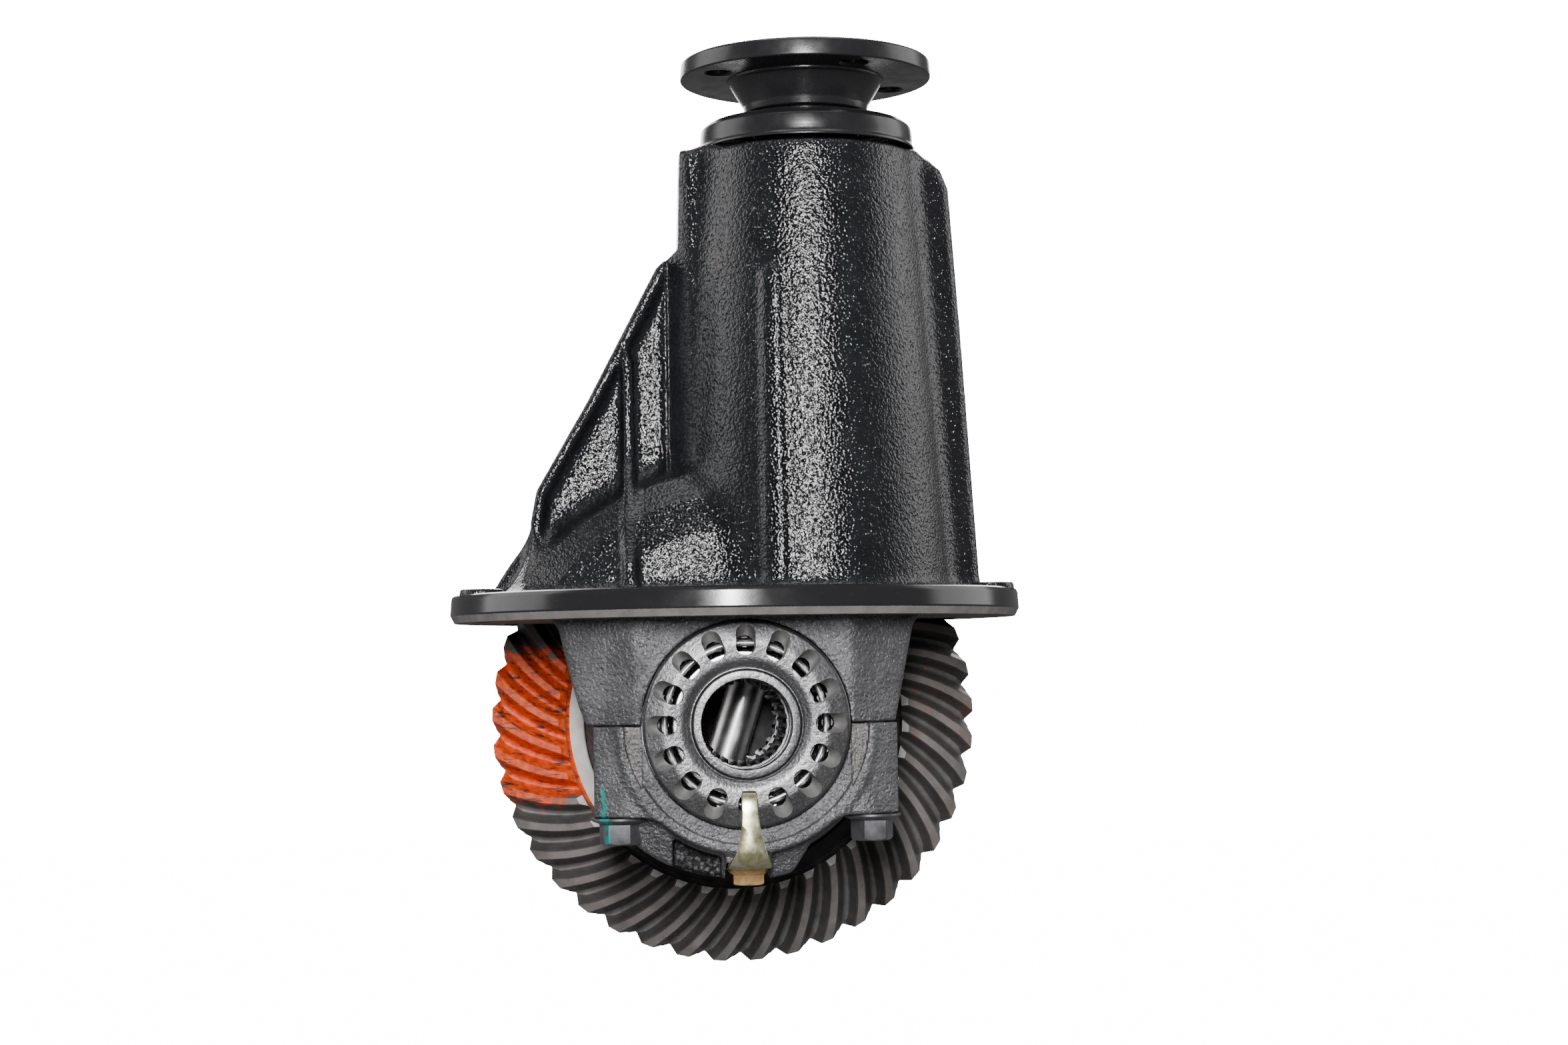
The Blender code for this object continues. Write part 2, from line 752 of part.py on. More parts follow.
def housing_additions():
    tube = lathe(
        [(TUBE_FOOT_RADIUS, 5.0), (TUBE_FOOT_RADIUS, FLANGE_THICK), (TUBE_TOP_RADIUS, 187.0),
         (TUBE_TOP_RADIUS - 2.0, TUBE_TOP_Z)],
        36, centre=(PINION_X, 0, 0), closed=False,
    )
    web = plate_xz(WEB_OUTLINE, -18.0, 14.0)
    rib = plate_xz(RIB_OUTLINE, -9.0, 9.0)
    dome = axle_lathe([(56.0, -63.0), (64.0, -46.0), (64.0, 20.0)], 36)
    dome = lifted(dome, 5.0)
    bead = plate_xz(((10.2, 134.0), (14.0, 138.0), (17.5, 134.0), (18.0, 6.0), (9.4, 6.0)), -60, -30)
    pads = [
        rod(8.5, 5.0, FLANGE_THICK + 2.0, 12, centre=(
            STUD_CIRCLE * math.cos(a), STUD_CIRCLE * math.sin(a), 0))
        for a in stud_angles()
    ]
    front = pedestal(PEDESTAL_TOP, PEDESTAL_FOOT)
    rear = pedestal(*[rear_side(points) for points in (PEDESTAL_TOP, PEDESTAL_FOOT)])
    return [tube, clipped_hood(), dome, web, rib, front, rear] + pads + [bead]


def housing_cuts():
    bead_trim = lathe(
        [(58.6, 4.0), (58.6, FLANGE_THICK), (50.6, 139.0), (80.0, 139.0), (80.0, 11.4), (58.8, 11.4)],
        36, centre=(PINION_X, 0, 0),
    )
    front_trim = block(4.0, 24.0, -90.0, -62.0, 11.4, 150.0)
    pinion_bore = lathe(
        [(40.0, 10.0), (40.0, 59.0), (37.3, 59.0), (37.3, 85.0), (31.0, 85.0), (29.0, 150.0),
         (32.3, 150.0), (32.3, 176.0), (33.3, 176.0), (33.3, 195.0)],
        32, centre=(PINION_X, 0, 0), closed=False,
    )
    ring_room = axle_lathe([(103.5, 20.0), (103.5, 42.0), (96.0, 52.0), (88.0, REAR_BACK_Y - 0.5)], 36)
    case_room = axle_lathe([(40.0, -58.0), (50.0, -52.0), (58.0, -42.0), (58.0, 24.0)], 32)
    bores = axle_lathe([(BORE_SIDE, -95.0), (BORE_SIDE, 95.0)], 40)
    left_pocket = plate_xz(((-47.0, 100.0), (-74.0, 52.0), (-76.0, 38.0), (-84.0, 22.0), (-47.0, 22.0)),
                           -40.0, -10.0)
    inner_pocket = plate_xz(((-27.0, 138.0), (-37.0, 120.0), (-37.0, 22.0), (-27.0, 22.0)), -40.0, -10.0)
    studs = [
        rod(STUD_HOLE, -5.0, 40.0, 10, centre=(
            STUD_CIRCLE * math.cos(a), STUD_CIRCLE * math.sin(a), 0))
        for a in stud_angles()
    ]
    faces = [
        rod(8.0, FLANGE_THICK + 1.8, 40.0, 12, centre=(
            STUD_CIRCLE * math.cos(a), STUD_CIRCLE * math.sin(a), 0))
        for a in (stud_angles()[0], stud_angles()[4])
    ]
    threads = [
        rod(5.5, AXLE_Z - 5.0, -14.0, 10, centre=(x, y, 0))
        for x in (-CAP_BOLT_X, CAP_BOLT_X) for y in (-CAP_BOLT_Y, CAP_BOLT_Y)
    ]
    return ([front_trim, pinion_bore, ring_room, case_room, bores, left_pocket, inner_pocket]
            + studs + faces + threads)


def carrier_housing():
    plate = lathe(
        [(FLANGE_RADIUS - 2.5, 0.0), (FLANGE_RADIUS, 2.5), (FLANGE_RADIUS, FLANGE_THICK - 1.0),
         (FLANGE_RADIUS - 1.0, FLANGE_THICK)],
        72, closed=False,
    )
    mesh = solid(plate, housing_additions(), housing_cuts())
    place("carrier_housing", mesh, "black_paint")


# ---------------------------------------------------------------- caps, adjusters, locks
def between(sign, near, far):
    """Y range on the given side of the pinion axis."""
    return sorted((sign * near, sign * far))


def bearing_cap(side, sign):
    """Cap below the parting line: ring boss, flared body and two bolt pads."""
    back = CAP_BACK_Y if sign < 0 else REAR_BACK_Y
    centre = (0, 0, AXLE_Z)
    profile = [(64.0, back - 3.0), (64.0, 71.0), (51.5, 84.0), (51.5, CAP_FRONT_Y)]
    body = lathe(profile, 40, (0, sign, 0), centre, False)
    pads = [
        block(-60.0, -35.5, *between(sign, back - 2.0, 82.5), -76.0, -30.0),
        block(35.5, 60.0, *between(sign, back - 2.0, 82.5), -76.0, -30.0),
    ]
    wide = between(sign, 40.0, 120.0)
    cuts = [
        block(-90, 90, *between(sign, 30.0, back), -140, 60),
        block(-90, 90, *wide, AXLE_Z - GAP, 60),
        lathe([(BORE_SIDE, 30.0), (BORE_SIDE, 110.0)], 40, (0, sign, 0), centre, False),
        block(57.2, 90, *wide, -130, 0),
        block(-90, -57.2, *wide, -130, 0),
        block(37.2, 70, *wide, -130, CAP_PAD_Z),
        block(-70, -37.2, *wide, -130, CAP_PAD_Z),
        block(-14.0, 14.0, *wide, -130, CAP_BOTTOM_Z),
        rod(3.3, -130, -84.0, 10, centre=(0, sign * 74.0, 0)),
    ]
    cuts += [rod(5.5, -130, -20, 10, centre=(x, sign * CAP_BOLT_Y, 0)) for x in (-CAP_BOLT_X, CAP_BOLT_X)]
    place("bearing_cap_" + side, solid(body, pads, cuts), "cast_iron")


def flange_bolt(seat_z, centre, across, washer, head, shank, length):
    """Hex flange bolt pointing up, head below the seat."""
    x, y = centre
    bm = bmesh.new()
    count = 12
    steps = ((washer, seat_z - 1.6), (washer, seat_z), (shank, seat_z), (shank, seat_z + length))
    loops = [
        [bm.verts.new((
            x + r * math.cos(i * 2 * math.pi / count), y + r * math.sin(i * 2 * math.pi / count), z,
        )) for i in range(count)]
        for r, z in steps
    ]
    hexes = [
        [bm.verts.new((x + scale * px, y + scale * py, z)) for px, py in hexagon(across)]
        for scale, z in ((1.0, seat_z - 2.6), (1.0, seat_z - head + 1.0), (0.9, seat_z - head))
    ]
    chain = [hexes[2], hexes[1], hexes[0]] + loops
    for a, b in zip(chain, chain[1:]):
        bridge(bm, a, b)
    cap(bm, hexes[2])
    cap(bm, loops[-1])
    return finish_mesh("flange_bolt", bm)


def cap_bolts(side, sign):
    for label, x in (("left", -CAP_BOLT_X), ("right", CAP_BOLT_X)):
        mesh = flange_bolt(CAP_PAD_Z - GAP, (x, sign * CAP_BOLT_Y), 14.0, 9.6, 10.6, 5.0, 58.0)
        place("cap_bolt_%s_%s" % (side, label), mesh, "bolt_dark", (x, sign * CAP_BOLT_Y, CAP_PAD_Z))


def slot_cutter(angle):
    """Radially elongated hole widening towards the front face."""
    sections = []
    for y, grow in ((-95.0, 0.0), (-75.0, 0.0)):
        outline = []
        for i in range(8):
            t = math.pi * (i + 0.5) / 4
            middle = SLOT_OUTER - SLOT_HALF if t < math.pi / 2 or t > 3 * math.pi / 2 else (
                SLOT_INNER + SLOT_HALF)
            r = middle + (SLOT_HALF + grow) * math.cos(t)
            s = (SLOT_HALF + grow) * math.sin(t)
            x = r * math.cos(angle) - s * math.sin(angle)
            z = AXLE_Z + r * math.sin(angle) + s * math.cos(angle)
            outline.append((x, y, z))
        sections.append(outline)
    return lofted(sections)


def adjuster_mesh():
    """Front adjuster: threaded ring with a dished face and sixteen slots."""
    profile = [
        (ADJ_RADIUS, ADJ_BACK_Y), (ADJ_RADIUS, ADJ_FRONT_Y - 2.5), (ADJ_FACE_RADIUS, ADJ_FRONT_Y),
        (24.0, ADJ_FRONT_Y - 2.0), (ADJ_BORE, ADJ_FRONT_Y - 1.0), (ADJ_BORE, ADJ_BACK_Y + 0.6),
        (33.0, ADJ_BACK_Y + 0.6), (34.0, ADJ_BACK_Y),
    ]
    base = lathe(profile, 32, (0, -1, 0), (0, 0, AXLE_Z))
    cuts = [slot_cutter(-math.pi / 2 + k * 2 * math.pi / ADJ_SLOTS) for k in range(ADJ_SLOTS)]
    return solid(base, cut=cuts)


def adjusters():
    front = adjuster_mesh()
    rear = front.copy()
    rear.transform(Matrix.Scale(-1.0, 4, (0, 1, 0)))
    rear.flip_normals()
    place("bearing_adjuster_front", front, "adjuster_steel", (0, 0, AXLE_Z))
    place("bearing_adjuster_rear", rear, "adjuster_steel", (0, 0, AXLE_Z))


def lock_tab(side, sign):
    """Bent strip: foot under the cap, leg up its face, tongue into the lowest adjuster slot."""
    thick = 1.8
    seat = CAP_BOTTOM_Z - GAP
    path = ((68.0, seat - thick), (94.0, seat - thick), (94.0, -71.5), (86.0, -71.5),
            (86.0, -73.3), (92.2, -73.3), (92.2, seat), (68.0, seat))
    halves = (6.2, 6.2, 2.9, 2.6, 2.6, 2.9, 6.2, 6.2)
    bm = bmesh.new()
    left = [bm.verts.new((-h, sign * y, z)) for (y, z), h in zip(path, halves)]
    right = [bm.verts.new((h, sign * y, z)) for (y, z), h in zip(path, halves)]
    bridge(bm, left, right)
    for loop in (left, right):
        for quad in ((0, 1, 6, 7), (1, 2, 5, 6), (2, 3, 4, 5)):
            bm.faces.new([loop[i] for i in quad])
    mesh = finish_mesh("lock_tab", bm)
    obj = temp_holder(mesh)
    combine(obj, [rod(3.3, -130, -80, 12, centre=(0, sign * 74.0, 0))], "DIFFERENCE")
    mesh = obj.data
    bpy.data.objects.remove(obj, do_unlink=True)
    place("adjuster_lock_" + side, mesh, "yellow_zinc", (0, sign * 74.0, seat))


def temp_holder(mesh):
    obj = bpy.data.objects.new("holder", mesh)
    bpy.context.scene.collection.objects.link(obj)
    return obj


def lock_bolt(side, sign):
    seat = CAP_BOTTOM_Z - 2 * GAP - 1.8
    mesh = flange_bolt(seat, (0, sign * 74.0), 10.0, 7.0, 7.6, 3.0, 9.5)
    place("lock_bolt_" + side, mesh, "copper_zinc", (0, sign * 74.0, seat))


# ---------------------------------------------------------------- case group
def differential_case():
    outer = [
        (HUB_RADIUS, -79.5), (HUB_RADIUS, -59.0), (34.0, -59.0), (50.0, -46.0), (CASE_BARREL, -38.0), (CASE_BARREL, 20.0), (RING_BORE - GAP, 30.0),
        (RING_BORE - GAP, RING_BACK_Y + GAP), (CASE_FLANGE, RING_BACK_Y + GAP), (CASE_FLANGE, 57.0),
        (64.0, 57.0), (34.0, 59.0), (HUB_RADIUS, 59.0), (HUB_RADIUS, 79.5),
    ]
    inner = [
        (18.5, 79.5), (18.5, 62.0), (HUB_BORE, 62.0), (HUB_BORE, 31.0), (35.0, 31.0),
        (CAVITY, 18.0), (CAVITY, -18.0), (35.0, -31.0), (HUB_BORE, -31.0), (HUB_BORE, -62.0),
        (18.5, -62.0), (18.5, -79.5),
    ]
    base = lathe(outer + inner, 28, (0, 1, 0), (0, 0, AXLE_Z))
    c = cross_axis()
    window_axis = Vector((c.z, 0.0, -c.x))
    bore = rod(SHAFT_RADIUS + 0.4, -70, 70, 16, c, apex())
    windows = []
    for sign in (-1, 1):
        centre = apex() + window_axis * sign * 50.0
        tool = lathe([(24.0, -16.0), (24.0, 16.0)], 12, window_axis, centre, closed=False)
        windows.append(tool)
    bolts = [
        rod(4.9, RING_BACK_Y - 4.0, 70.0, 8, (0, 1, 0), bolt_centre(k)) for k in range(RING_BOLTS)
    ]
    pin_hole = rod(2.8, -12.5, 70.0, 10, (0, 1, 0), pin_centre())
    mesh = solid(base, cut=[bore] + windows + bolts + [pin_hole])
    place("differential_case", mesh, "case_iron", (0, 0, AXLE_Z))


def bolt_centre(k):
    angle = math.radians(9 + k * 360 / RING_BOLTS)
    return (RING_BOLT_CIRCLE * math.cos(angle), 0.0, AXLE_Z + RING_BOLT_CIRCLE * math.sin(angle))


def pin_centre():
    spot = apex() + cross_axis() * 50.0
    return (spot.x, 0.0, spot.z)


def ring_bolt(k):
    """Bolt through the case flange into a blind hole of the ring gear."""
    x, _, z = bolt_centre(k)
    bm = bmesh.new()
    turn = math.pi / 3
    shank = [[bm.verts.new((x + 4.3 * math.cos(i * turn), y, z + 4.3 * math.sin(i * turn)))
              for i in range(6)] for y in (41.0, 57.0 + GAP)]
    head = [[bm.verts.new((x + px, y, z + pz)) for px, pz in hexagon(14.0)] for y in (57.0 + GAP, 62.8)]
    chain = shank + head
    for a, b in zip(chain, chain[1:]):
        bridge(bm, a, b)
    cap(bm, chain[0])
    cap(bm, chain[-1])
    return finish_mesh("ring_bolt", bm)


def ring_gear_with_holes():
    obj = temp_holder(ring_gear())
    holes = [rod(4.9, 40.5, 60.0, 8, (0, 1, 0), bolt_centre(k)) for k in range(RING_BOLTS)]
    combine(obj, holes, "DIFFERENCE")
    mesh = obj.data
    bpy.data.objects.remove(obj, do_unlink=True)
    return mesh


def cross_shaft():
    c = cross_axis()
    bm = lathe(
        [(SHAFT_RADIUS - 1.0, -SHAFT_HALF), (SHAFT_RADIUS, -SHAFT_HALF + 1.0),
         (SHAFT_RADIUS, SHAFT_HALF - 1.0), (SHAFT_RADIUS - 1.0, SHAFT_HALF)],
        20, c, apex(), closed=False,
    )
    hole = rod(2.8, -20.0, 20.0, 10, (0, 1, 0), pin_centre())
    return solid(bm, cut=[hole])


def thrust_washer(inner, outer, low, high, axis, seg):
    bm = lathe([(inner, low), (inner, high), (outer, high), (outer, low)], seg, axis, apex())
    return finish_mesh("washer", bm)


def cone_washer(sign):
    """Dished washer between a spider gear's back and the case."""
    profile = [(8.4, 43.0), (15.3, 41.9), (15.3, 42.6), (8.4, 43.7)]
    bm = lathe(profile, 18, cross_axis() * sign, apex())
    return finish_mesh("cone_washer", bm)


def case_group():
    differential_case()
    base = (0, 0, AXLE_Z)
    place("ring_gear", ring_gear_with_holes(), "black_oxide", base)
    for k in range(RING_BOLTS):
        x, _, z = bolt_centre(k)
        place("ring_gear_bolt_%d" % (k + 1), ring_bolt(k), "bolt_dark", (x, 57.0, z))
    place("cross_shaft", cross_shaft(), "shaft_steel", base)
    pin = finish_mesh("pin", rod(2.4, -12.0, 33.0, 12, (0, 1, 0), pin_centre()))
    place("cross_shaft_pin", pin, "shaft_steel", pin_centre())
    for side, sign in (("front", -1), ("rear", 1)):
        place("side_gear_" + side, side_gear(sign), "gear_steel", base)
        washer = thrust_washer(SIDE_HUB + GAP + 0.2, 32.5, 28.9, 30.7, (0, sign, 0), 20)
        place("side_gear_washer_" + side, washer, "bronze", base)
    place("bore_plug_rear", bore_plug(1), "cage_steel", base)
    for label, sign in (("upper", 1), ("lower", -1)):
        place("spider_gear_" + label, spider_gear(sign), "gear_steel", base)
        place("spider_washer_" + label, cone_washer(sign), "bronze", base)


# ---------------------------------------------------------------- pinion group
def on_pinion(name, profile, seg, kind, closed=True):
    bm = lathe(profile, seg, centre=(PINION_X, 0, 0), closed=closed)
    place(name, finish_mesh(name, bm), kind, (PINION_X, 0, 0))


def companion_flange():
    top = YOKE_TOP_Z
    profile = [
        (PINION_SPLINE + GAP, 174.6), (21.0, 174.6), (21.0, 206.5), (26.0, 207.5), (26.0, 210.6),
        (32.1, top - YOKE_THICK), (YOKE_RADIUS, top - YOKE_THICK), (YOKE_RADIUS, top - 1.0),
        (YOKE_RADIUS - 1.0, top),
        (29.0, top), (29.0, top - 4.0), (20.5, top - 4.0), (20.5, 209.4), (PINION_SPLINE + GAP, 209.4),
    ]
    base = lathe(profile, 32, centre=(PINION_X, 0, 0))
    holes = []
    for k in range(YOKE_HOLES):
        a = YOKE_PHASE + k * 2 * math.pi / YOKE_HOLES
        spot = (PINION_X + YOKE_CIRCLE * math.cos(a), YOKE_CIRCLE * math.sin(a), 0)
        holes.append(rod(YOKE_HOLE, 200.0, 240.0, 12, centre=spot))
    mesh = solid(base, cut=holes)
    place("companion_flange", mesh, "satin_black", (PINION_X, 0, 0))


def pinion_nut():
    bm = bmesh.new()
    count = 18
    bore = 12.0
    low, high = 211.6, 224.5
    inner = [[bm.verts.new((
        PINION_X + bore * math.cos(i * 2 * math.pi / count), bore * math.sin(i * 2 * math.pi / count), z,
    )) for i in range(count)] for z in (low, high)]
    outer = [[bm.verts.new((PINION_X + px, py, z)) for px, py in hexagon(30.0)] for z in (low, high)]
    bridge(bm, inner[0], inner[1])
    bridge(bm, inner[1], outer[1])
    bridge(bm, outer[1], outer[0])
    bridge(bm, outer[0], inner[0])
    place("pinion_nut", finish_mesh("pinion_nut", bm), "bolt_dark", (PINION_X, 0, 0))


def pinion_group():
    place("drive_pinion", drive_pinion(), "gear_steel", (PINION_X, 0, 0))
    companion_flange()
    deflector = [
        (21.3, 198.6), (21.3, 206.2), (39.5, 205.0), (43.4, 200.5), (44.2, 192.4),
        (42.6, 192.4), (41.6, 199.8), (38.6, 203.0), (22.8, 203.8), (22.8, 198.6),
    ]
    on_pinion("dust_deflector", deflector, 30, "satin_black")
    on_pinion("pinion_washer", [(12.0, 209.7), (19.5, 209.7), (19.5, 211.3), (12.0, 211.3)], 24, "bolt_dark")
    pinion_nut()
    seal = [
        (21.4, 180.0), (22.6, 177.0), (32.9, 177.0), (32.9, 188.5), (31.0, 188.5), (31.0, 180.0),
    ]
    on_pinion("pinion_oil_seal", seal, 24, "seal_rubber")
    slinger = [(17.3, 171.2), (29.0, 171.2), (29.0, 173.4), (17.3, 173.4)]
    on_pinion("oil_slinger", slinger, 24, "cage_steel")
    sleeve = [(17.9, 85.0), (20.2, 85.0), (20.2, 112.0), (22.6, 118.0), (20.2, 124.0),
              (20.2, 151.4), (17.9, 151.4), (17.9, 124.0), (20.4, 118.0), (17.9, 112.0)]
    on_pinion("crush_sleeve", sleeve, 20, "cage_steel")
    on_pinion("pinion_shim", [(17.8, 58.9), (25.0, 58.9), (25.0, 60.3), (17.8, 60.3)], 20, "bearing_steel")
    pinion_bearing("head", 17.7, 37.0, 84.7, 60.6, 1)
    pinion_bearing("tail", 17.3, 32.0, 151.7, 170.9, -1)


def main():
    clear_scene()
    carrier_housing()
    pinion_group()
    case_group()
    for side, sign in (("front", -1), ("rear", 1)):
        bearing_cap(side, sign)
        cap_bolts(side, sign)
        lock_tab(side, sign)
        lock_bolt(side, sign)
        side_bearing(side, -sign)
    adjusters()


main()
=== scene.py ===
"""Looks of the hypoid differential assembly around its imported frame."""
from math import atan2, cos, hypot, log, pi, radians, sin

import bmesh
import bpy
import numpy as np
from mathutils import Matrix, Vector


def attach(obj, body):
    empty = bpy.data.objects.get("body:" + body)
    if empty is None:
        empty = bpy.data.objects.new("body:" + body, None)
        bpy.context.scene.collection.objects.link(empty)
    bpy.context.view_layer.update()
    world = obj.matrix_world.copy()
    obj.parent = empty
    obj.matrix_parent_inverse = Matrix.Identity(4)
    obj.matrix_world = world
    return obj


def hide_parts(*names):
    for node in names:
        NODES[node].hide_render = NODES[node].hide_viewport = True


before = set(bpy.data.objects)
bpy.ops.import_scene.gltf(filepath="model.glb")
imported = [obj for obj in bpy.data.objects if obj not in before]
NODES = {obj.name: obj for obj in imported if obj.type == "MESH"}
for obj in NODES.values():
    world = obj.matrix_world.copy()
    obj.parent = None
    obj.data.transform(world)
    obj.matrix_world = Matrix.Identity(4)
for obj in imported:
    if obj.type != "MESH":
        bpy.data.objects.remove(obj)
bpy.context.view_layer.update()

MM = 0.001
TAU = 2 * pi
PINION_X = 32.0
AXLE_Z = -40.5
CROSS_TILT = radians(18.0)
FLANGE_RADIUS = 115.0
FLANGE_THICK = 11.0
STUD_CIRCLE = 106.0
TUBE_TOP_Z = 190.0
BORE_SIDE = 40.8
BORE_MOUTH = 39.4
CAP_FRONT_Y = 89.0
CAP_PAD_Z = -75.0
CAP_BOTTOM_Z = -92.0
AXLE = (0, 0, AXLE_Z)
PINION = (PINION_X, 0, 0)
SIDES = (("front", -1), ("rear", 1))
RING_ROOM = [(103.5, 20.0), (103.5, 42.0), (96.0, 52.0), (88.0, 65.0)]


# --- node materials
class Nodes:
    """Small helper to write a material's node tree."""

    def __init__(self, name=None, mat=None):
        self.mat = mat or bpy.data.materials.new(name)
        self.mat.use_nodes = True
        self.tree = self.mat.node_tree
        self.shader = self.tree.nodes["Principled BSDF"]
        self.coord = self.tree.nodes.new("ShaderNodeTexCoord").outputs["Object"]
        self.bump = None

    def new(self, kind, sockets, **props):
        """A node with its properties set and its inputs linked or given their values."""
        node = self.tree.nodes.new(kind)
        for key, value in props.items():
            setattr(node, key, value)
        for key, value in sockets.items():
            self.feed(node.inputs[key], value)
        return node

    def link(self, a, b):
        self.tree.links.new(a, b)

    def feed(self, socket, value):
        if isinstance(value, bpy.types.NodeSocket):
            self.link(value, socket)
        elif value is not None:
            socket.default_value = value

    def noise(self, size_mm, detail=3.0, rough=0.55, stretch=None, distort=0.0):
        """Noise with features of about the given size; values 0 to 1."""
        place = self.coord
        if stretch is not None:
            place = self.new("ShaderNodeMapping", {"Scale": stretch, "Vector": place}).outputs["Vector"]
        sockets = {"Scale": 1.0 / (size_mm * MM), "Detail": detail, "Roughness": rough, "Distortion": distort,
                   "Vector": place}
        return self.new("ShaderNodeTexNoise", sockets).outputs["Fac"]

    def cells(self, size_mm):
        node = self.new("ShaderNodeTexVoronoi", {"Scale": 1.0 / (size_mm * MM), "Vector": self.coord})
        return node.outputs["Distance"]

    def remap(self, value, low, high, out_low=0.0, out_high=1.0):
        sockets = {"Value": value, "From Min": low, "From Max": high, "To Min": out_low, "To Max": out_high}
        return self.new("ShaderNodeMapRange", sockets, clamp=True).outputs["Result"]

    def math(self, op, a, b=0.0):
        return self.new("ShaderNodeMath", {0: a, 1: b}, operation=op).outputs[0]

    def rest(self, mask):
        """What a mask leaves over."""
        return self.math("SUBTRACT", 1.0, mask)

    def times(self, first, *rest):
        for value in rest:
            first = self.math("MULTIPLY", first, value)
        return first

    def plus(self, a, b):
        return self.math("ADD", a, b)

    def abs(self, value):
        return self.math("ABSOLUTE", value)

    def patches(self, size_mm, low, high, detail=3.0, rough=0.55, stretch=None, out=(0.0, 1.0), distort=0.0):
        """Noise remapped from the given range."""
        return self.remap(self.noise(size_mm, detail, rough, stretch, distort), low, high, *out)

    def vary(self, size_mm, low, high, detail=3.0):
        """A value that drifts between two limits."""
        return self.patches(size_mm, 0.3, 0.7, detail, out=(low, high))

    def color(self, value):
        self.feed(self.shader.inputs["Base Color"], rgba(value) if isinstance(value, tuple) else value)

    def mix(self, factor, a, b):
        node = self.new("ShaderNodeMix", {"Factor": factor}, data_type="RGBA")
        for key, value in (("A", a), ("B", b)):
            socket = [s for s in node.inputs if s.name == key and s.type == "RGBA"][0]
            self.feed(socket, rgba(value) if isinstance(value, tuple) else value)
        return [s for s in node.outputs if s.type == "RGBA"][0]

    def axis(self, name):
        """Object coordinate in millimetres."""
        return self.math("MULTIPLY", self.new("ShaderNodeSeparateXYZ", {0: self.coord}).outputs[name], 1.0 / MM)

    def add_bump(self, height, distance_mm, strength=1.0):
        sockets = {"Strength": strength, "Distance": distance_mm * MM, "Height": height, "Normal": self.bump}
        self.bump = self.new("ShaderNodeBump", sockets).outputs["Normal"]
        self.link(self.bump, self.shader.inputs["Normal"])

    def finish(self, color, rough, metal):
        self.color(color)
        self.feed(self.shader.inputs["Roughness"], rough)
        self.feed(self.shader.inputs["Metallic"], metal)
        return self.mat


def rgba(color):
    return (*color, 1.0)


def paint_material():
    """Black gloss paint flowed over a sand-cast skin."""
    n = Nodes("gloss_black_over_sand_casting")
    n.add_bump(n.noise(24.0, 2.0, 0.5), 0.6, 0.5)
    n.add_bump(n.noise(5.0, 2.0, 0.5), 0.25, 0.6)
    n.add_bump(n.noise(1.5, 2.0, 0.6), 0.50, 1.0)
    n.add_bump(n.remap(n.cells(1.5), 0.0, 0.45), 0.22, 0.8)
    tone = n.mix(n.patches(14.0, 0.35, 0.7), (0.006, 0.006, 0.0075), (0.010, 0.010, 0.012))
    rough = n.vary(9.0, 0.10, 0.18)
    return n.finish(tone, rough, 0.0)


def smooth_paint_material(name, rough=(0.2, 0.34), tone=0.011, lines=0.015):
    """Satin black over a turned surface: fine turning rings and faint scuffs."""
    n = Nodes(name)
    fine = n.noise(0.9, 2.0)
    rings = n.noise(0.55, 1.0, stretch=(0.02, 0.02, 1.0))
    n.add_bump(fine, 0.012, 0.6)
    n.add_bump(rings, lines, 0.7)
    scuff = n.patches(4.0, 0.62, 0.74, 6.0, 0.7, stretch=(1.0, 1.0, 3.0))
    color = n.mix(scuff, (tone, tone, tone * 1.1), (tone * 2.2, tone * 2.2, tone * 2.3))
    value = n.vary(7.0, *rough, 4.0)
    return n.finish(color, value, 0.0)


def iron_material(name, dark, light, grain=1.1, depth=0.3, metal=0.75, rough=(0.38, 0.58)):
    """Shot-blasted grey iron: grainy skin, with small bright specks painted into the colour as glints (painted
    highlight).
    """
    n = Nodes(name)
    skin = n.noise(grain, 3.0, 0.6)
    n.add_bump(n.noise(12.0, 2.0), 0.5, 0.4)
    n.add_bump(skin, depth, 1.0)
    n.add_bump(n.cells(grain * 0.9), depth * 0.5, 0.5)
    patch = n.patches(16.0, 0.35, 0.68, 4.0, 0.6)
    tone = n.mix(patch, dark, light)
    # painted highlight: bright specks in the base colour stand in for glints on the grainy skin
    painted_glint = n.patches(grain * 0.55, 0.6, 0.72, 2.0)
    tone = n.mix(n.times(painted_glint, 0.45), tone, tuple(min(1.0, c * 3.4) for c in light))
    value = n.remap(skin, 0.3, 0.7, *rough)
    return n.finish(tone, value, metal)


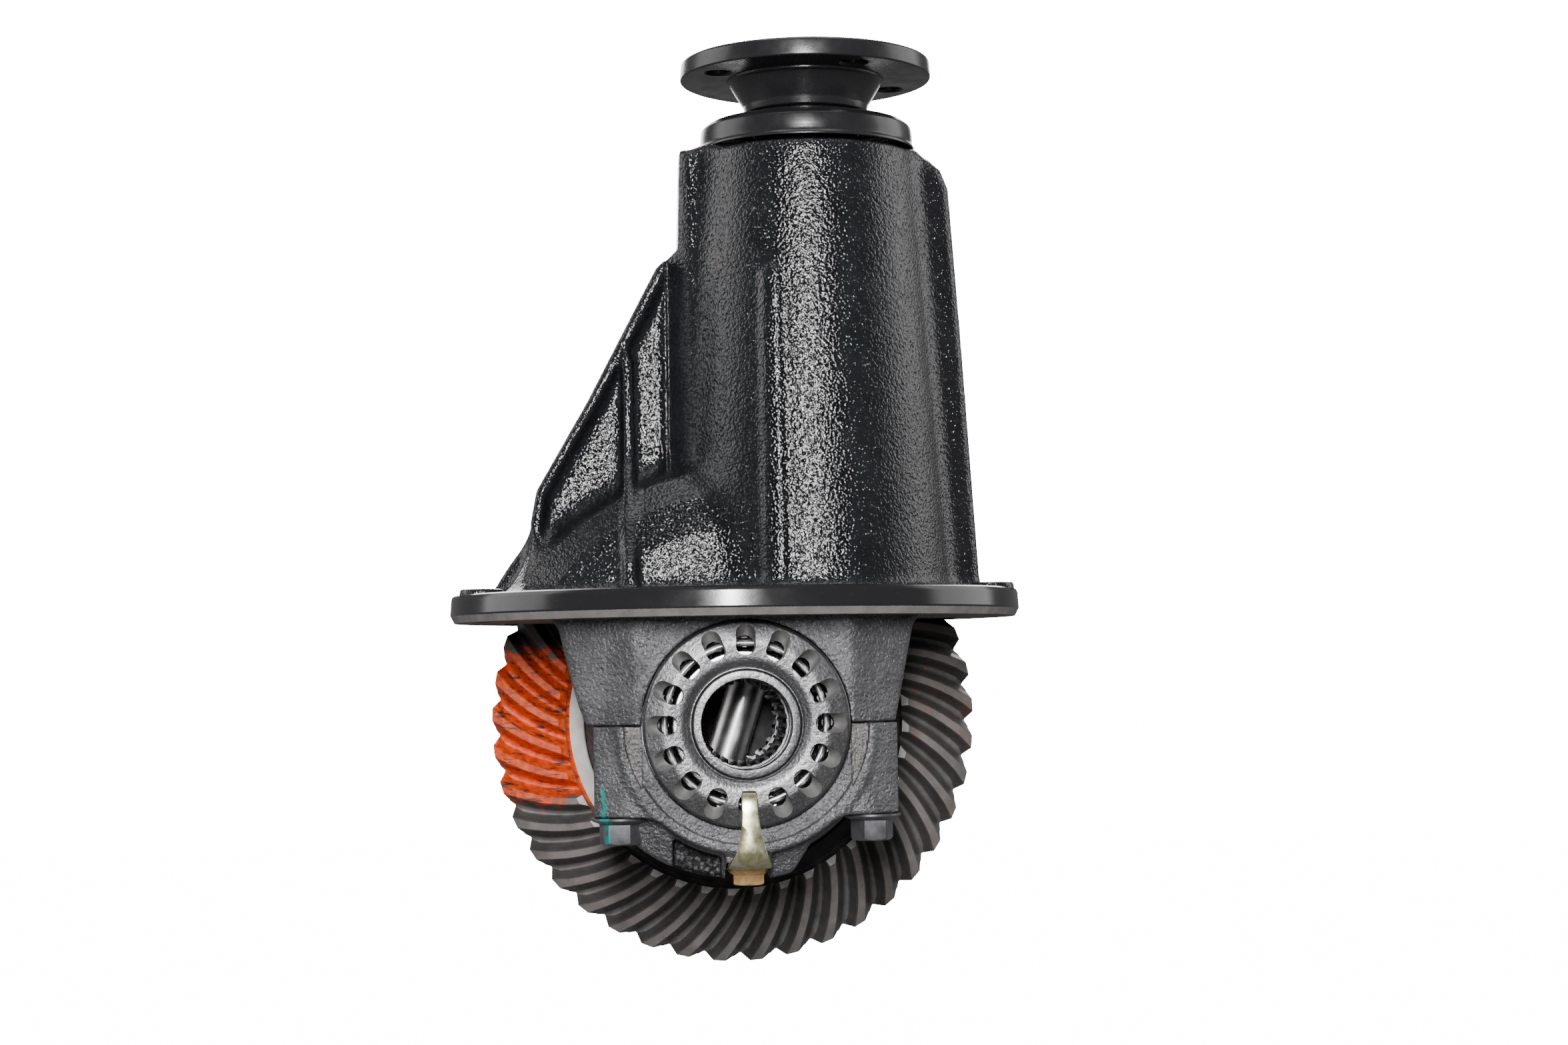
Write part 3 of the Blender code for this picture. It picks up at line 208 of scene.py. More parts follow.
def cap_skin(mat, dab):
    """Add the milled crescents beside the adjuster; one cap has a pitted hollow darkened with painted shade and a thin
    teal stroke.
    """
    n = Nodes(mat=mat)
    x, z = n.axis("X"), n.plus(n.axis("Z"), -AXLE_Z)
    reach = n.math("SQRT", n.plus(n.times(x, x), n.times(z, z)))
    milled = n.times(n.remap(reach, 46.2, 45.9), n.remap(n.abs(x), 39.3, 39.6))
    milled = n.times(milled, n.remap(n.abs(n.axis("Y")), 86.0, 86.4))
    base = n.shader.inputs["Base Color"].links[0].from_socket
    lines = n.patches(0.5, 0.35, 0.65, 2.0, stretch=(0.15, 1.0, 1.0))
    base = n.mix(milled, base, n.mix(lines, (0.10, 0.096, 0.092), (0.15, 0.145, 0.14)))
    n.color(base)
    if not dab:
        return mat
    # painted shade: the recessed hollow in the lobe is darkened towards near black; the cells add pitting on top
    hollow = n.times(n.remap(reach, 49.6, 51.0), n.remap(n.abs(n.plus(x, 18.8)), 10.2, 8.8))
    hollow = n.times(hollow, n.remap(n.axis("Y"), -75.5, -71.5))
    pits_under_painted_shade = n.remap(n.cells(1.9), 0.15, 0.5)
    base = n.mix(hollow, base, n.mix(pits_under_painted_shade, (0.085, 0.085, 0.088), (0.010, 0.010, 0.011)))
    across = n.plus(n.plus(n.axis("X"), 53.9), n.vary(6.0, -1.2, 1.2, 2.0))
    stripe = n.remap(n.abs(across), 1.3, 0.7)
    tall = n.times(n.remap(n.axis("Z"), -63.0, -64.5), n.remap(n.axis("Y"), -60.0, -62.0))
    mask = n.times(stripe, tall)
    n.color(n.mix(mask, base, (0.008, 0.16, 0.145)))
    n.feed(n.shader.inputs["Metallic"], n.times(n.rest(mask), 0.75))
    return mat


def steel_material(name, dark, light, rough=(0.2, 0.35), grain=0.5, depth=0.02, metal=1.0, stretch=None, patch=8.0):
    """Worked steel with fine tool marks and slight patchiness."""
    n = Nodes(name)
    marks = n.noise(grain, 3.0, 0.6, stretch=stretch)
    n.add_bump(marks, depth, 0.6)
    tone = n.mix(n.patches(patch, 0.34, 0.68, 5.0, 0.6), dark, light)
    value = n.vary(patch * 0.6, *rough, 4.0)
    return n.finish(tone, value, metal)


def tooth_material(name, dark, light, rough, metal, film=1.0):
    """Gear surface with the orange marking compound left on one group of teeth."""
    n = Nodes(name)
    n.add_bump(n.noise(0.8, 3.0), 0.05, 0.6)
    tone = n.mix(n.patches(9.0, 0.35, 0.68, 5.0, 0.65), dark, light)
    x, z = n.axis("X"), n.plus(n.axis("Z"), -AXLE_Z)
    rust = n.patches(13.0, 0.56, 0.68, 5.0, 0.7)
    right = n.times(n.remap(x, 45.0, 75.0), n.remap(n.abs(n.plus(z, 10.0)), 34.0, 14.0))
    tone = n.mix(n.times(rust, right, 0.55 * film), tone, (0.20, 0.055, 0.03))
    left = n.remap(x, -52.0, -62.0)
    middle = n.plus(z, n.vary(7.0, -5.0, 5.0))
    high = n.remap(middle, 31.5, 27.0)
    low = n.remap(middle, -34.0, -29.5)
    zone = n.times(left, n.times(high, low))
    tone = n.mix(n.times(zone, 0.75), tone, (0.020, 0.014, 0.011))
    streak = n.patches(5.0, 0.38, 0.47, 6.0, 0.72, stretch=(0.45, 1.0, 2.4))
    body = n.times(zone, streak)
    fleck = n.patches(3.2, 0.70, 0.73, 4.0, 0.6)
    spread = n.patches(40.0, 0.45, 0.6, 1.0)
    orange = n.math("MAXIMUM", body, n.times(fleck, spread, 0.7))
    shade = n.mix(n.patches(2.6, 0.35, 0.65, 3.0), (0.40, 0.028, 0.0008), (0.72, 0.075, 0.002))
    return n.finish(n.mix(orange, tone, shade), n.vary(6.0, *rough, 4.0), n.times(n.rest(orange), metal))


def ring_face_material():
    """Turned inner face of the ring gear: painted light on the side lit from the left, painted shade near black
    elsewhere.
    """
    n = Nodes("turned_ring_face")
    n.add_bump(n.noise(0.7, 3.0, 0.6), 0.03, 0.6)
    # painted light and shade: light tone where the face is lit from the left, near black where it lies in shade
    painted_lit_side = n.remap(n.plus(n.axis("X"), n.vary(9.0, -3.0, 3.0)), -38.0, -54.0)
    light = n.mix(n.patches(8.0, 0.34, 0.68, 5.0, 0.6), (0.46, 0.445, 0.42), (0.62, 0.60, 0.57))
    tone = n.mix(painted_lit_side, (0.012, 0.012, 0.012), light)
    return n.finish(tone, n.vary(5.0, 0.5, 0.62, 4.0), 0.1)


def zinc_material(name, low, high, accent, metal):
    """Passivated zinc plate with drifting tints."""
    n = Nodes(name)
    n.add_bump(n.noise(1.6, 3.0), 0.01, 0.5)
    tint = n.mix(n.patches(6.0, 0.35, 0.65, 3.0, 0.5, distort=1.5), low, high)
    tint = n.mix(n.patches(3.5, 0.55, 0.7, 3.0, 0.5, distort=2.0, out=(0.0, 0.7)), tint, accent)
    return n.finish(tint, n.vary(2.5, 0.16, 0.28, 3.0), metal)


def striped_bolt_material(name, base, spot):
    """Dark bolt steel with an inspector's teal paint dab at one place."""
    n = Nodes(name)
    n.add_bump(n.noise(0.7, 3.0), 0.05, 0.6)
    tone = n.mix(n.patches(5.0, 0.35, 0.68, 5.0), base, tuple(c * 1.7 for c in base))
    across = n.plus(n.math("SUBTRACT", n.axis("X"), spot), n.vary(4.0, -1.4, 1.4, 2.0))
    stripe = n.remap(n.abs(across), 1.7, 1.2)
    broken = n.patches(3.0, 0.40, 0.46, 3.0)
    front = n.remap(n.axis("Y"), -77.0, -80.0)
    height = n.remap(n.axis("Z"), -61.0, -63.5)
    mask = n.times(stripe, height, n.times(front, broken))
    return n.finish(n.mix(mask, tone, (0.01, 0.17, 0.155)), n.vary(4.0, 0.3, 0.46, 3.0), n.times(n.rest(mask), 0.65))


CAST_IRON = ((0.080, 0.080, 0.084), (0.150, 0.150, 0.157))
BOLT_STEEL = (0.085, 0.085, 0.091)
TEAL_DAB_X = -53.0
NO_DAB_X = 900.0
MATS = {
    "paint": paint_material(),
    "satin": smooth_paint_material("satin_black_turned"),
    "flange_edge": smooth_paint_material("gloss_black_rim", rough=(0.15, 0.22), lines=0.010),
    "machined": steel_material("machined_iron_strip", (0.13, 0.123, 0.118), (0.19, 0.181, 0.175),
                               (0.6, 0.75), 0.45, 0.04, 0.2, (1.0, 1.0, 0.2)),
    "iron": iron_material("shot_blasted_iron", *CAST_IRON, 1.5, 1.0),
    "cap_iron": cap_skin(iron_material("cap_iron", *CAST_IRON, 1.5, 0.9), False),
    "cap_dab": cap_skin(iron_material("cap_iron_with_dab", *CAST_IRON, 1.5, 0.9), True),
    "case": iron_material("case_iron", (0.060, 0.060, 0.063), (0.105, 0.105, 0.110), 1.6, 0.12, 0.7, (0.34, 0.5)),
    "adjuster": iron_material("sintered_adjuster", (0.088, 0.088, 0.091), (0.132, 0.132, 0.136),
                              1.2, 0.15, 0.9, (0.29, 0.42)),
    "slot_wall": steel_material("slot_wall", (0.29, 0.287, 0.281), (0.39, 0.386, 0.379), (0.42, 0.54), 0.8, 0.05, 0.55),
    "bearing": steel_material("ground_bearing_steel", (0.36, 0.36, 0.37), (0.50, 0.50, 0.51), (0.2, 0.32)),
    "cage": steel_material("pressed_cage_steel", (0.28, 0.28, 0.285), (0.46, 0.46, 0.465), (0.24, 0.4), 0.9, 0.03),
    "bolt": striped_bolt_material("bolt_steel_plain", BOLT_STEEL, NO_DAB_X),
    "bolt_dab": striped_bolt_material("bolt_steel_with_dab", BOLT_STEEL, TEAL_DAB_X),
    "flank": tooth_material("phosphated_flank", (0.064, 0.060, 0.058), (0.105, 0.099, 0.095), (0.4, 0.52), 0.35),
    "land": tooth_material("tooth_top_land", (0.092, 0.082, 0.076), (0.142, 0.127, 0.118), (0.5, 0.62), 0.3, 0.6),
    # bare cut chamfer steel; its near-white base is partly a painted highlight, so the toe chips read bright where they
    # sit in shade
    "bright": tooth_material("chamfer_cut", (0.62, 0.60, 0.57), (0.88, 0.86, 0.83), (0.35, 0.5), 0.3, 0.3),
    "ring_face": ring_face_material(),
    "gear": steel_material("cut_gear_steel", (0.10, 0.10, 0.105), (0.2, 0.2, 0.205), (0.26, 0.4), 0.6, 0.03),
    "shaft": steel_material("ground_shaft", (0.46, 0.45, 0.45), (0.60, 0.59, 0.59), (0.28, 0.36), 0.4, 0.008),
    # painted shade: near-black steel for the rear bore plug, which stands in for the dark shade seen through the bore
    "bore_plug_painted_shade": steel_material("bore_plug_painted_shade_steel", (0.012, 0.012, 0.013), (0.02, 0.02, 0.021), (0.5, 0.65),
                                 0.8, 0.03, 0.4),
    "zinc": zinc_material("yellow_passivated_zinc", (0.40, 0.385, 0.20), (0.60, 0.585, 0.43), (0.36, 0.33, 0.09), 0.9),
    "copper": zinc_material("copper_gold_zinc", (0.56, 0.34, 0.135), (0.78, 0.53, 0.26), (0.66, 0.36, 0.22), 0.6),
    "rubber": iron_material("seal_rubber", (0.012, 0.012, 0.013), (0.02, 0.02, 0.021), 0.8, 0.05, 0.0, (0.5, 0.7)),
    "bronze": steel_material("bronze_washer", (0.34, 0.22, 0.09), (0.52, 0.36, 0.17), (0.28, 0.42)),
}


# --- mesh building
def axis_frame(axis, centre):
    turn = Vector(axis).to_track_quat("Z", "Y").to_matrix().to_4x4()
    return Matrix.Translation(Vector(centre)) @ turn


def bridge(bm, low, high, mat=0):
    faces = [bm.faces.new(quad) for quad in zip(low, low[1:] + low[:1], high[1:] + high[:1], high)]
    for face in faces:
        face.material_index = mat
    return faces


def cap(bm, loop, mat=0):
    bm.faces.new(loop).material_index = mat


def skin(bm, loops, ends=False, mat=0):
    """Side faces along a row of loops, closed by end faces on request."""
    for a, b in zip(loops, loops[1:]):
        bridge(bm, a, b, mat)
    if ends:
        cap(bm, loops[0], mat)
        cap(bm, loops[-1], mat)
    return bm


def loop_of(bm, points):
    return [bm.verts.new(p) for p in points]


def circle(radius, height, count, phase=0.0):
    return [
        (radius * cos(phase + i * TAU / count), radius * sin(phase + i * TAU / count), height)
        for i in range(count)
    ]


def rounded(profile, radius=0.6, steps=3):
    """Replace each corner of a closed (radius, height) profile by a small arc."""
    out = []
    count = len(profile)
    for i in range(count):
        a, b, c = (Vector(profile[(i + k) % count]) for k in (-1, 0, 1))
        u, v = a - b, c - b
        reach = min(radius, u.length * 0.45, v.length * 0.45)
        start, end = b + u.normalized() * reach, b + v.normalized() * reach
        for s in range(steps + 1):
            t = s / steps
            point = start.lerp(b, t).lerp(b.lerp(end, t), t)
            out.append((point.x, point.y))
    return out


def lathe(profile, seg, axis=(0, 0, 1), centre=(0, 0, 0), closed=True, phase=0.0, mats=None):
    """Revolved profile; mats gives a material index per profile segment."""
    bm = bmesh.new()
    loops = [loop_of(bm, circle(r, h, seg, phase)) for r, h in profile]
    pairs = list(zip(loops, loops[1:])) + ([(loops[-1], loops[0])] if closed else [])
    for k, (a, b) in enumerate(pairs):
        bridge(bm, a, b, mats[k] if mats else 0)
    if not closed:
        cap(bm, loops[0])
        cap(bm, loops[-1])
    bmesh.ops.transform(bm, matrix=axis_frame(axis, centre), verts=bm.verts[:])
    return bm


def soft_lathe(profile, seg, axis=(0, 0, 1), centre=(0, 0, 0), radius=0.6):
    return lathe(rounded(profile, radius), seg, axis, centre)


def rod(radius, low, high, seg, axis=(0, 0, 1), centre=(0, 0, 0)):
    return lathe([(radius, low), (radius, high)], seg, axis, centre, closed=False)


def lofted(sections):
    bm = bmesh.new()
    return skin(bm, [loop_of(bm, section) for section in sections], ends=True)


def absorb(target, other):
    """Add another bmesh's geometry to the target."""
    mesh = bpy.data.meshes.new("part")
    other.to_mesh(mesh)
    other.free()
    target.from_mesh(mesh)
    bpy.data.meshes.remove(mesh)
    return target


def linked(name, data):
    obj = bpy.data.objects.new(name, data)
    bpy.context.scene.collection.objects.link(obj)
    return obj


def to_object(name, bm, recalc=True):
    if recalc:
        bmesh.ops.recalc_face_normals(bm, faces=bm.faces[:])
    bmesh.ops.scale(bm, vec=(MM, MM, MM), verts=bm.verts[:])
    mesh = bpy.data.meshes.new(name)
    bm.to_mesh(mesh)
    bm.free()
    return linked(name, mesh)


def applied(obj):
    """Keep what the object's modifiers make of its mesh."""
    graph = bpy.context.evaluated_depsgraph_get()
    done = bpy.data.meshes.new_from_object(obj.evaluated_get(graph))
    obj.modifiers.clear()
    obj.data = done


def cut_away(obj, tools):
    """Exact Boolean difference of the tools from the object, applied."""
    for bm in tools:
        tool = to_object("tool", bm)
        mod = obj.modifiers.new("cut", "BOOLEAN")
        mod.operation = "DIFFERENCE"
        mod.solver = "EXACT"
        mod.object = tool
        applied(obj)
        bpy.data.objects.remove(tool, do_unlink=True)


def shade(mesh, degrees=32.0):
    bm = bmesh.new()
    bm.from_mesh(mesh)
    limit = radians(degrees)
    for face in bm.faces:
        face.smooth = True
    for edge in bm.edges:
        edge.smooth = len(edge.link_faces) == 2 and edge.calc_face_angle(0.0) <= limit
    bm.to_mesh(mesh)
    bm.free()


def bevelled(obj, width, segments=2):
    mod = obj.modifiers.new("edge", "BEVEL")
    mod.width = width * MM
    mod.segments = segments
    mod.limit_method = "ANGLE"
    mod.angle_limit = radians(32)
    mod.use_clamp_overlap = True
    mod.harden_normals = False


def piece(name, obj, body, slot, mats, *nodes, smooth=32.0):
    """Name an object or loose geometry, give it its materials, and tie it to its body and nodes."""
    if isinstance(obj, bmesh.types.BMesh):
        obj = to_object(name, obj)
    obj.name = name
    indices = np.zeros(len(obj.data.polygons), np.int32)
    obj.data.polygons.foreach_get("material_index", indices)
    obj.data.materials.clear()
    for mat in mats:
        obj.data.materials.append(MATS[mat])
    obj.data.polygons.foreach_set("material_index", indices)
    shade(obj.data, smooth)
    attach(obj, body)
    if nodes:
        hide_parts(*nodes)


# --- rounded castings from distance fields
def smin(a, b, k):
    h = np.clip(0.5 + 0.5 * (b - a) / k, 0.0, 1.0)
    return b * (1 - h) + a * h - k * h * (1 - h)


def smax(a, b, k):
    return -smin(-a, -b, k)


def limited(shape, *limits):
    for limit in limits:
        shape = np.maximum(shape, limit)
    return shape


def polygon(u, v, outline):
    """Signed distance to a polygon in the (u, v) plane."""
    best = None
    sign = None
    count = len(outline)
    for i in range(count):
        (ax, ay), (bx, by) = outline[i], outline[i - 1]
        ex, ey = bx - ax, by - ay
        wx, wy = u - ax, v - ay
        t = np.clip((wx * ex + wy * ey) / (ex * ex + ey * ey), 0.0, 1.0)
        d = (wx - ex * t) ** 2 + (wy - ey * t) ** 2
        c1, c2, c3 = wy >= 0, v < by, ex * wy > ey * wx
        flip = (c1 & c2 & c3) | (~c1 & ~c2 & ~c3)
        best = d if best is None else np.minimum(best, d)
        turn = np.where(flip, -1.0, 1.0).astype(np.float32)
        sign = turn if sign is None else sign * turn
    return sign * np.sqrt(best)


class Field:
    """A block of space sampled on a regular grid, in millimetres."""

    def __init__(self, low, high, step):
        self.low, self.step = np.array(low, float), step
        counts = [int(round((b - a) / step)) + 1 for a, b in zip(low, high)]
        x, y, z = (np.float32(a + step * np.arange(n)) for a, n in zip(low, counts))
        self.x, self.y, self.z = x[:, None, None], y[None, :, None], z[None, None, :]

    def plate(self, outline, low, high, edge=3.0):
        """Outline in X, Z with a Y range."""
        flat = polygon(self.x, self.z, outline)
        return smax(flat, np.maximum(low - self.y, self.y - high), edge)

    def turned(self, profile, across, up, along):
        """Revolved solid from (radius, height) points."""
        outline = [(0.0, profile[0][1])] + list(profile) + [(0.0, profile[-1][1])]
        return polygon(np.sqrt(across ** 2 + up ** 2), along, outline)

    def turned_y(self, profile):
        return self.turned(profile, self.x, self.z - AXLE_Z, self.y)

    def turned_z(self, profile):
        return self.turned(profile, self.x - PINION_X, self.y, self.z)

    def ball(self, centre, radii):
        x, y, z = (self.x - centre[0]) / radii[0], (self.y - centre[1]) / radii[1], (self.z - centre[2]) / radii[2]
        return (np.sqrt(x * x + y * y + z * z) - 1.0) * min(radii)

    def object(self, name, field):
        """Closed quad mesh of the zero level, one vertex per crossed cell."""
        field = np.pad(field.astype(np.float32), 1, constant_values=self.step)
        low = self.low - self.step
        inside = field < 0
        shape = np.array(field.shape) - 1
        total = np.zeros(shape, np.int8)
        corners = [(i, j, k) for i in (0, 1) for j in (0, 1) for k in (0, 1)]

        def part(array, c):
            return array[c[0]:c[0] + shape[0], c[1]:c[1] + shape[1], c[2]:c[2] + shape[2]]

        for c in corners:
            total += part(inside, c)
        active = (total > 0) & (total < 8)
        cells = np.argwhere(active)
        index = -np.ones(shape, np.int32)
        index[active] = np.arange(len(cells))
        values = {c: field[tuple((cells + c).T)] for c in corners}
        place = np.zeros((len(cells), 3))
        hits = np.zeros(len(cells))
        for c in corners:
            for axis in range(3):
                if c[axis]:
                    continue
                d = list(c)
                d[axis] = 1
                a, b = values[c], values[tuple(d)]
                crossed = (a < 0) != (b < 0)
                t = np.where(crossed, a / np.where(crossed, a - b, 1.0), 0.0)
                point = np.tile(np.array(c, float), (len(cells), 1))
                point[:, axis] = t
                place += point * crossed[:, None]
                hits += crossed
        verts = (cells + place / hits[:, None]) * self.step + low
        quads = []
        for axis in range(3):
            u, v = (axis + 1) % 3, (axis + 2) % 3
            first = [slice(1, -1)] * 3
            first[axis] = slice(0, -1)
            second = list(first)
            second[axis] = slice(1, None)
            a, b = inside[tuple(first)], inside[tuple(second)]
            for mask, order in ((a & ~b, 1), (~a & b, -1)):
                spots = np.argwhere(mask)
                spots[:, u] += 1
                spots[:, v] += 1
                ring = []
                for du, dv in ((-1, -1), (0, -1), (0, 0), (-1, 0))[::order]:
                    spot = spots.copy()
                    spot[:, u] += du
                    spot[:, v] += dv
                    ring.append(index[tuple(spot.T)])
                quads.append(np.stack(ring, 1))
        quads = np.concatenate(quads)
        mesh = bpy.data.meshes.new(name)
        mesh.vertices.add(len(verts))
        mesh.vertices.foreach_set("co", (verts * MM).astype(np.float32).ravel())
        mesh.loops.add(len(quads) * 4)
        mesh.loops.foreach_set("vertex_index", quads.astype(np.int32).ravel())
        mesh.polygons.add(len(quads))
        mesh.polygons.foreach_set("loop_start", np.arange(0, len(quads) * 4, 4, dtype=np.int32))
        mesh.update(calc_edges=True)
        mesh.validate()
        return linked(name, mesh)


def relaxed(obj, rounds):
    """Laplacian smoothing applied to the mesh."""
    mod = obj.modifiers.new("relax", "SMOOTH")
    mod.iterations = rounds
    mod.factor = 0.5
    applied(obj)


COARSE = 1.0


def upper_casting():
    """Pinion tube, ear and webs, ring gear hood and dome, all above the flange."""
    f = Field((-106, -62, 6), (112, 78, 192), COARSE)
    x, y, z = f.x, f.y, f.z
    radius = 56.4 - 12.0 * np.clip(z - FLANGE_THICK, 0, 400) / 176.0
    away = np.sqrt((x - PINION_X) ** 2 + y ** 2)
    tube = smax((away - radius) * 0.9977, z - TUBE_TOP_Z, 3.0)
    web = f.plate(((-20.6, 190.0), (-21.8, 150.0), (-30.6, 142.2), (-59.2, 87.8), (-79.6, 52.7), (-82.0, 40.0),
                   (-81.0, 0.0), (20.0, 0.0), (20.0, 190.0)), -19.0, 14.0, 5.0)
    pocket = f.plate(((-26.0, 139.0), (-55.0, 85.5), (-75.4, 50.4), (-77.2, 38.0), (-76.0, 0.0), (-26.0, 0.0)),
                     -60.0, -13.0, 5.0)
    web = smax(web, -pocket, 4.5)
    tilt = np.where(x > -27.0, 0.8 * np.clip(-17.0 - x, 0.0, 9.0), 0.0)
    web = smax(web, (-y - 19.0 + tilt) * 0.78, 2.0)
    rib = f.plate(((81.5, 186.5), (86.5, 183.0), (89.6, 175.0), (93.5, 116.5), (99.5, 15.1), (100.0, 0.0),
                   (40.0, 0.0), (40.0, 186.5)), -11.0, 9.0, 7.0)
    hood = f.turned_y([(111.5, 12.0), (112.0, 47.0), (94.0, 71.0)])
    front = f.turned_y([(50.0, -46.0), (76.0, -42.0), (90.0, -36.0), (100.0, -26.5), (105.5, -12.0), (105.5, 20.0)])
    front = smax(front, x - 34.0, 6.0)
    hood = smin(hood, front, 10.0)
    body = smin(tube, web, 9.0)
    body = smin(body, hood, 7.0)
    body = smin(body, rib, 10.0)
    bead = smax(f.plate(((10.4, 136.0), (14.2, 139.0), (16.8, 136.0), (17.6, 0.0), (9.6, 0.0)), -62.0, -20.0, 3.0),
                away - radius - 1.6, 2.5)
    body = smin(body, bead, 3.0)
    spine = f.plate(((-44.6, 104.0), (-42.5, 108.0), (-40.4, 104.0), (-39.8, 0.0), (-45.4, 0.0)), -70.0, -8.0, 2.5)
    slope = -19.5 - 27.0 * np.clip((66.0 - z) / 44.0, 0.0, 1.0)
    spine = smax(spine, slope - y, 2.5)
    body = smin(body, spine, 3.0)
    dimple = f.ball((77.5, -42.0, 21.0), (3.2, 5.0, 6.5))
    body = smax(body, -dimple, 1.5)
    foot = smin(body, z - FLANGE_THICK + 0.5, 6.0)
    reach = np.sqrt(x ** 2 + y ** 2) - (FLANGE_RADIUS - 3.0)
    body = smax(foot, reach, 2.0)
    bore = f.turned_z([(40.0, 0.0), (40.0, 59.0), (37.3, 59.0), (37.3, 85.0), (31.0, 85.0), (29.0, 150.0),
                       (32.3, 150.0), (33.3, 176.0), (33.3, 200.0)])
    case_room = f.turned_y([(40.0, -50.0), (50.0, -46.0), (58.0, -38.0), (58.0, 24.0)])
    body = limited(body, 8.0 - z, -bore, -f.turned_y(RING_ROOM), -case_room)
    obj = f.object("carrier_casting", body)
    relaxed(obj, 2)
    piece("carrier_casting", obj, "carrier", "black_paint", ["paint"], "carrier_housing", smooth=60.0)


STUD_ANGLES = [radians(18 + 36 * k) for k in range(10)]


def stud_spot(angle):
    return (STUD_CIRCLE * cos(angle), STUD_CIRCLE * sin(angle), 0)


def flange_disc():
    """Round mounting flange with its chamfered machined strip and ten stud holes."""
    profile = [(60.0, 0.0), (FLANGE_RADIUS - 1.6, 0.0), (FLANGE_RADIUS - 0.15, 2.8), (FLANGE_RADIUS, 3.1),
               (FLANGE_RADIUS - 0.03, 3.6), (FLANGE_RADIUS - 0.42, FLANGE_THICK - 2.0),
               (FLANGE_RADIUS - 0.48, FLANGE_THICK - 1.5), (FLANGE_RADIUS - 0.9, FLANGE_THICK - 0.5),
               (FLANGE_RADIUS - 1.8, FLANGE_THICK), (60.0, FLANGE_THICK)]
    bm = lathe(profile, 256, mats=[1, 1, 2, 2, 2, 2, 2, 2, 0, 1])
    obj = to_object("mounting_flange", bm)
    cut_away(obj, [rod(4.2, -5.0, 40.0, 28, centre=stud_spot(a)) for a in STUD_ANGLES]
             + [lathe(RING_ROOM, 96, (0, 1, 0), AXLE, False)])
    bevelled(obj, 0.3)
    piece("mounting_flange", obj, "carrier", "black_paint", ["paint", "machined", "flange_edge"])


def stud_pads():
    bm = bmesh.new()
    for k in (0, 4, 5, 9):
        profile = [(4.2, 10.0), (8.9, 10.0), (8.4, 13.0), (4.2, 13.0)]
        absorb(bm, soft_lathe(profile, 40, centre=stud_spot(STUD_ANGLES[k]), radius=0.7))
    piece("stud_pads", bm, "carrier", "black_paint", ["paint"])


def pedestal(side, sign):
    """Bearing pedestal between the flange and the parting line."""
    step = 0.9 if (sign > 0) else 0.55
    back = 58.0 if sign < 0 else 65.5
    f = Field((-80, 56 if sign > 0 else -90, -41), (78, 90 if sign > 0 else -56, 1.5), step)
    x, y, z = f.x, -sign * f.y, f.z
    t = np.clip((z - AXLE_Z) / 40.5, 0.0, 1.0)
    flare = 2.5 * np.clip((z + 5.0) / 5.0, 0.0, 1.0) ** 2
    left = 59.6 + 11.4 * np.maximum(t, 0.0) ** 0.75 + flare
    right = 57.2 + 8.6 * t + flare
    sides = np.maximum(-x - left, x - right)
    crease_left, crease_right = -41.6, 40.0
    lean = 0.65 * np.maximum(crease_left - x, x - crease_right)
    front = smax(-y - 88.2, (-y - 88.2 + lean) * 0.84, 1.2)
    bore = np.where(y < -80.4, BORE_MOUTH, BORE_SIDE + 0.1) - np.sqrt(x ** 2 + (z - AXLE_Z) ** 2)
    shape = limited(smax(sides, front, 2.4), y + back, AXLE_Z + 0.15 - z, z - 1.0, bore)
    if sign > 0:
        shape = np.maximum(shape, -f.turned_y(RING_ROOM))
    obj = f.object("pedestal_" + side, shape)
    relaxed(obj, 1)
    piece("pedestal_" + side, obj, "carrier", "cast_iron", ["iron"], smooth=48.0)


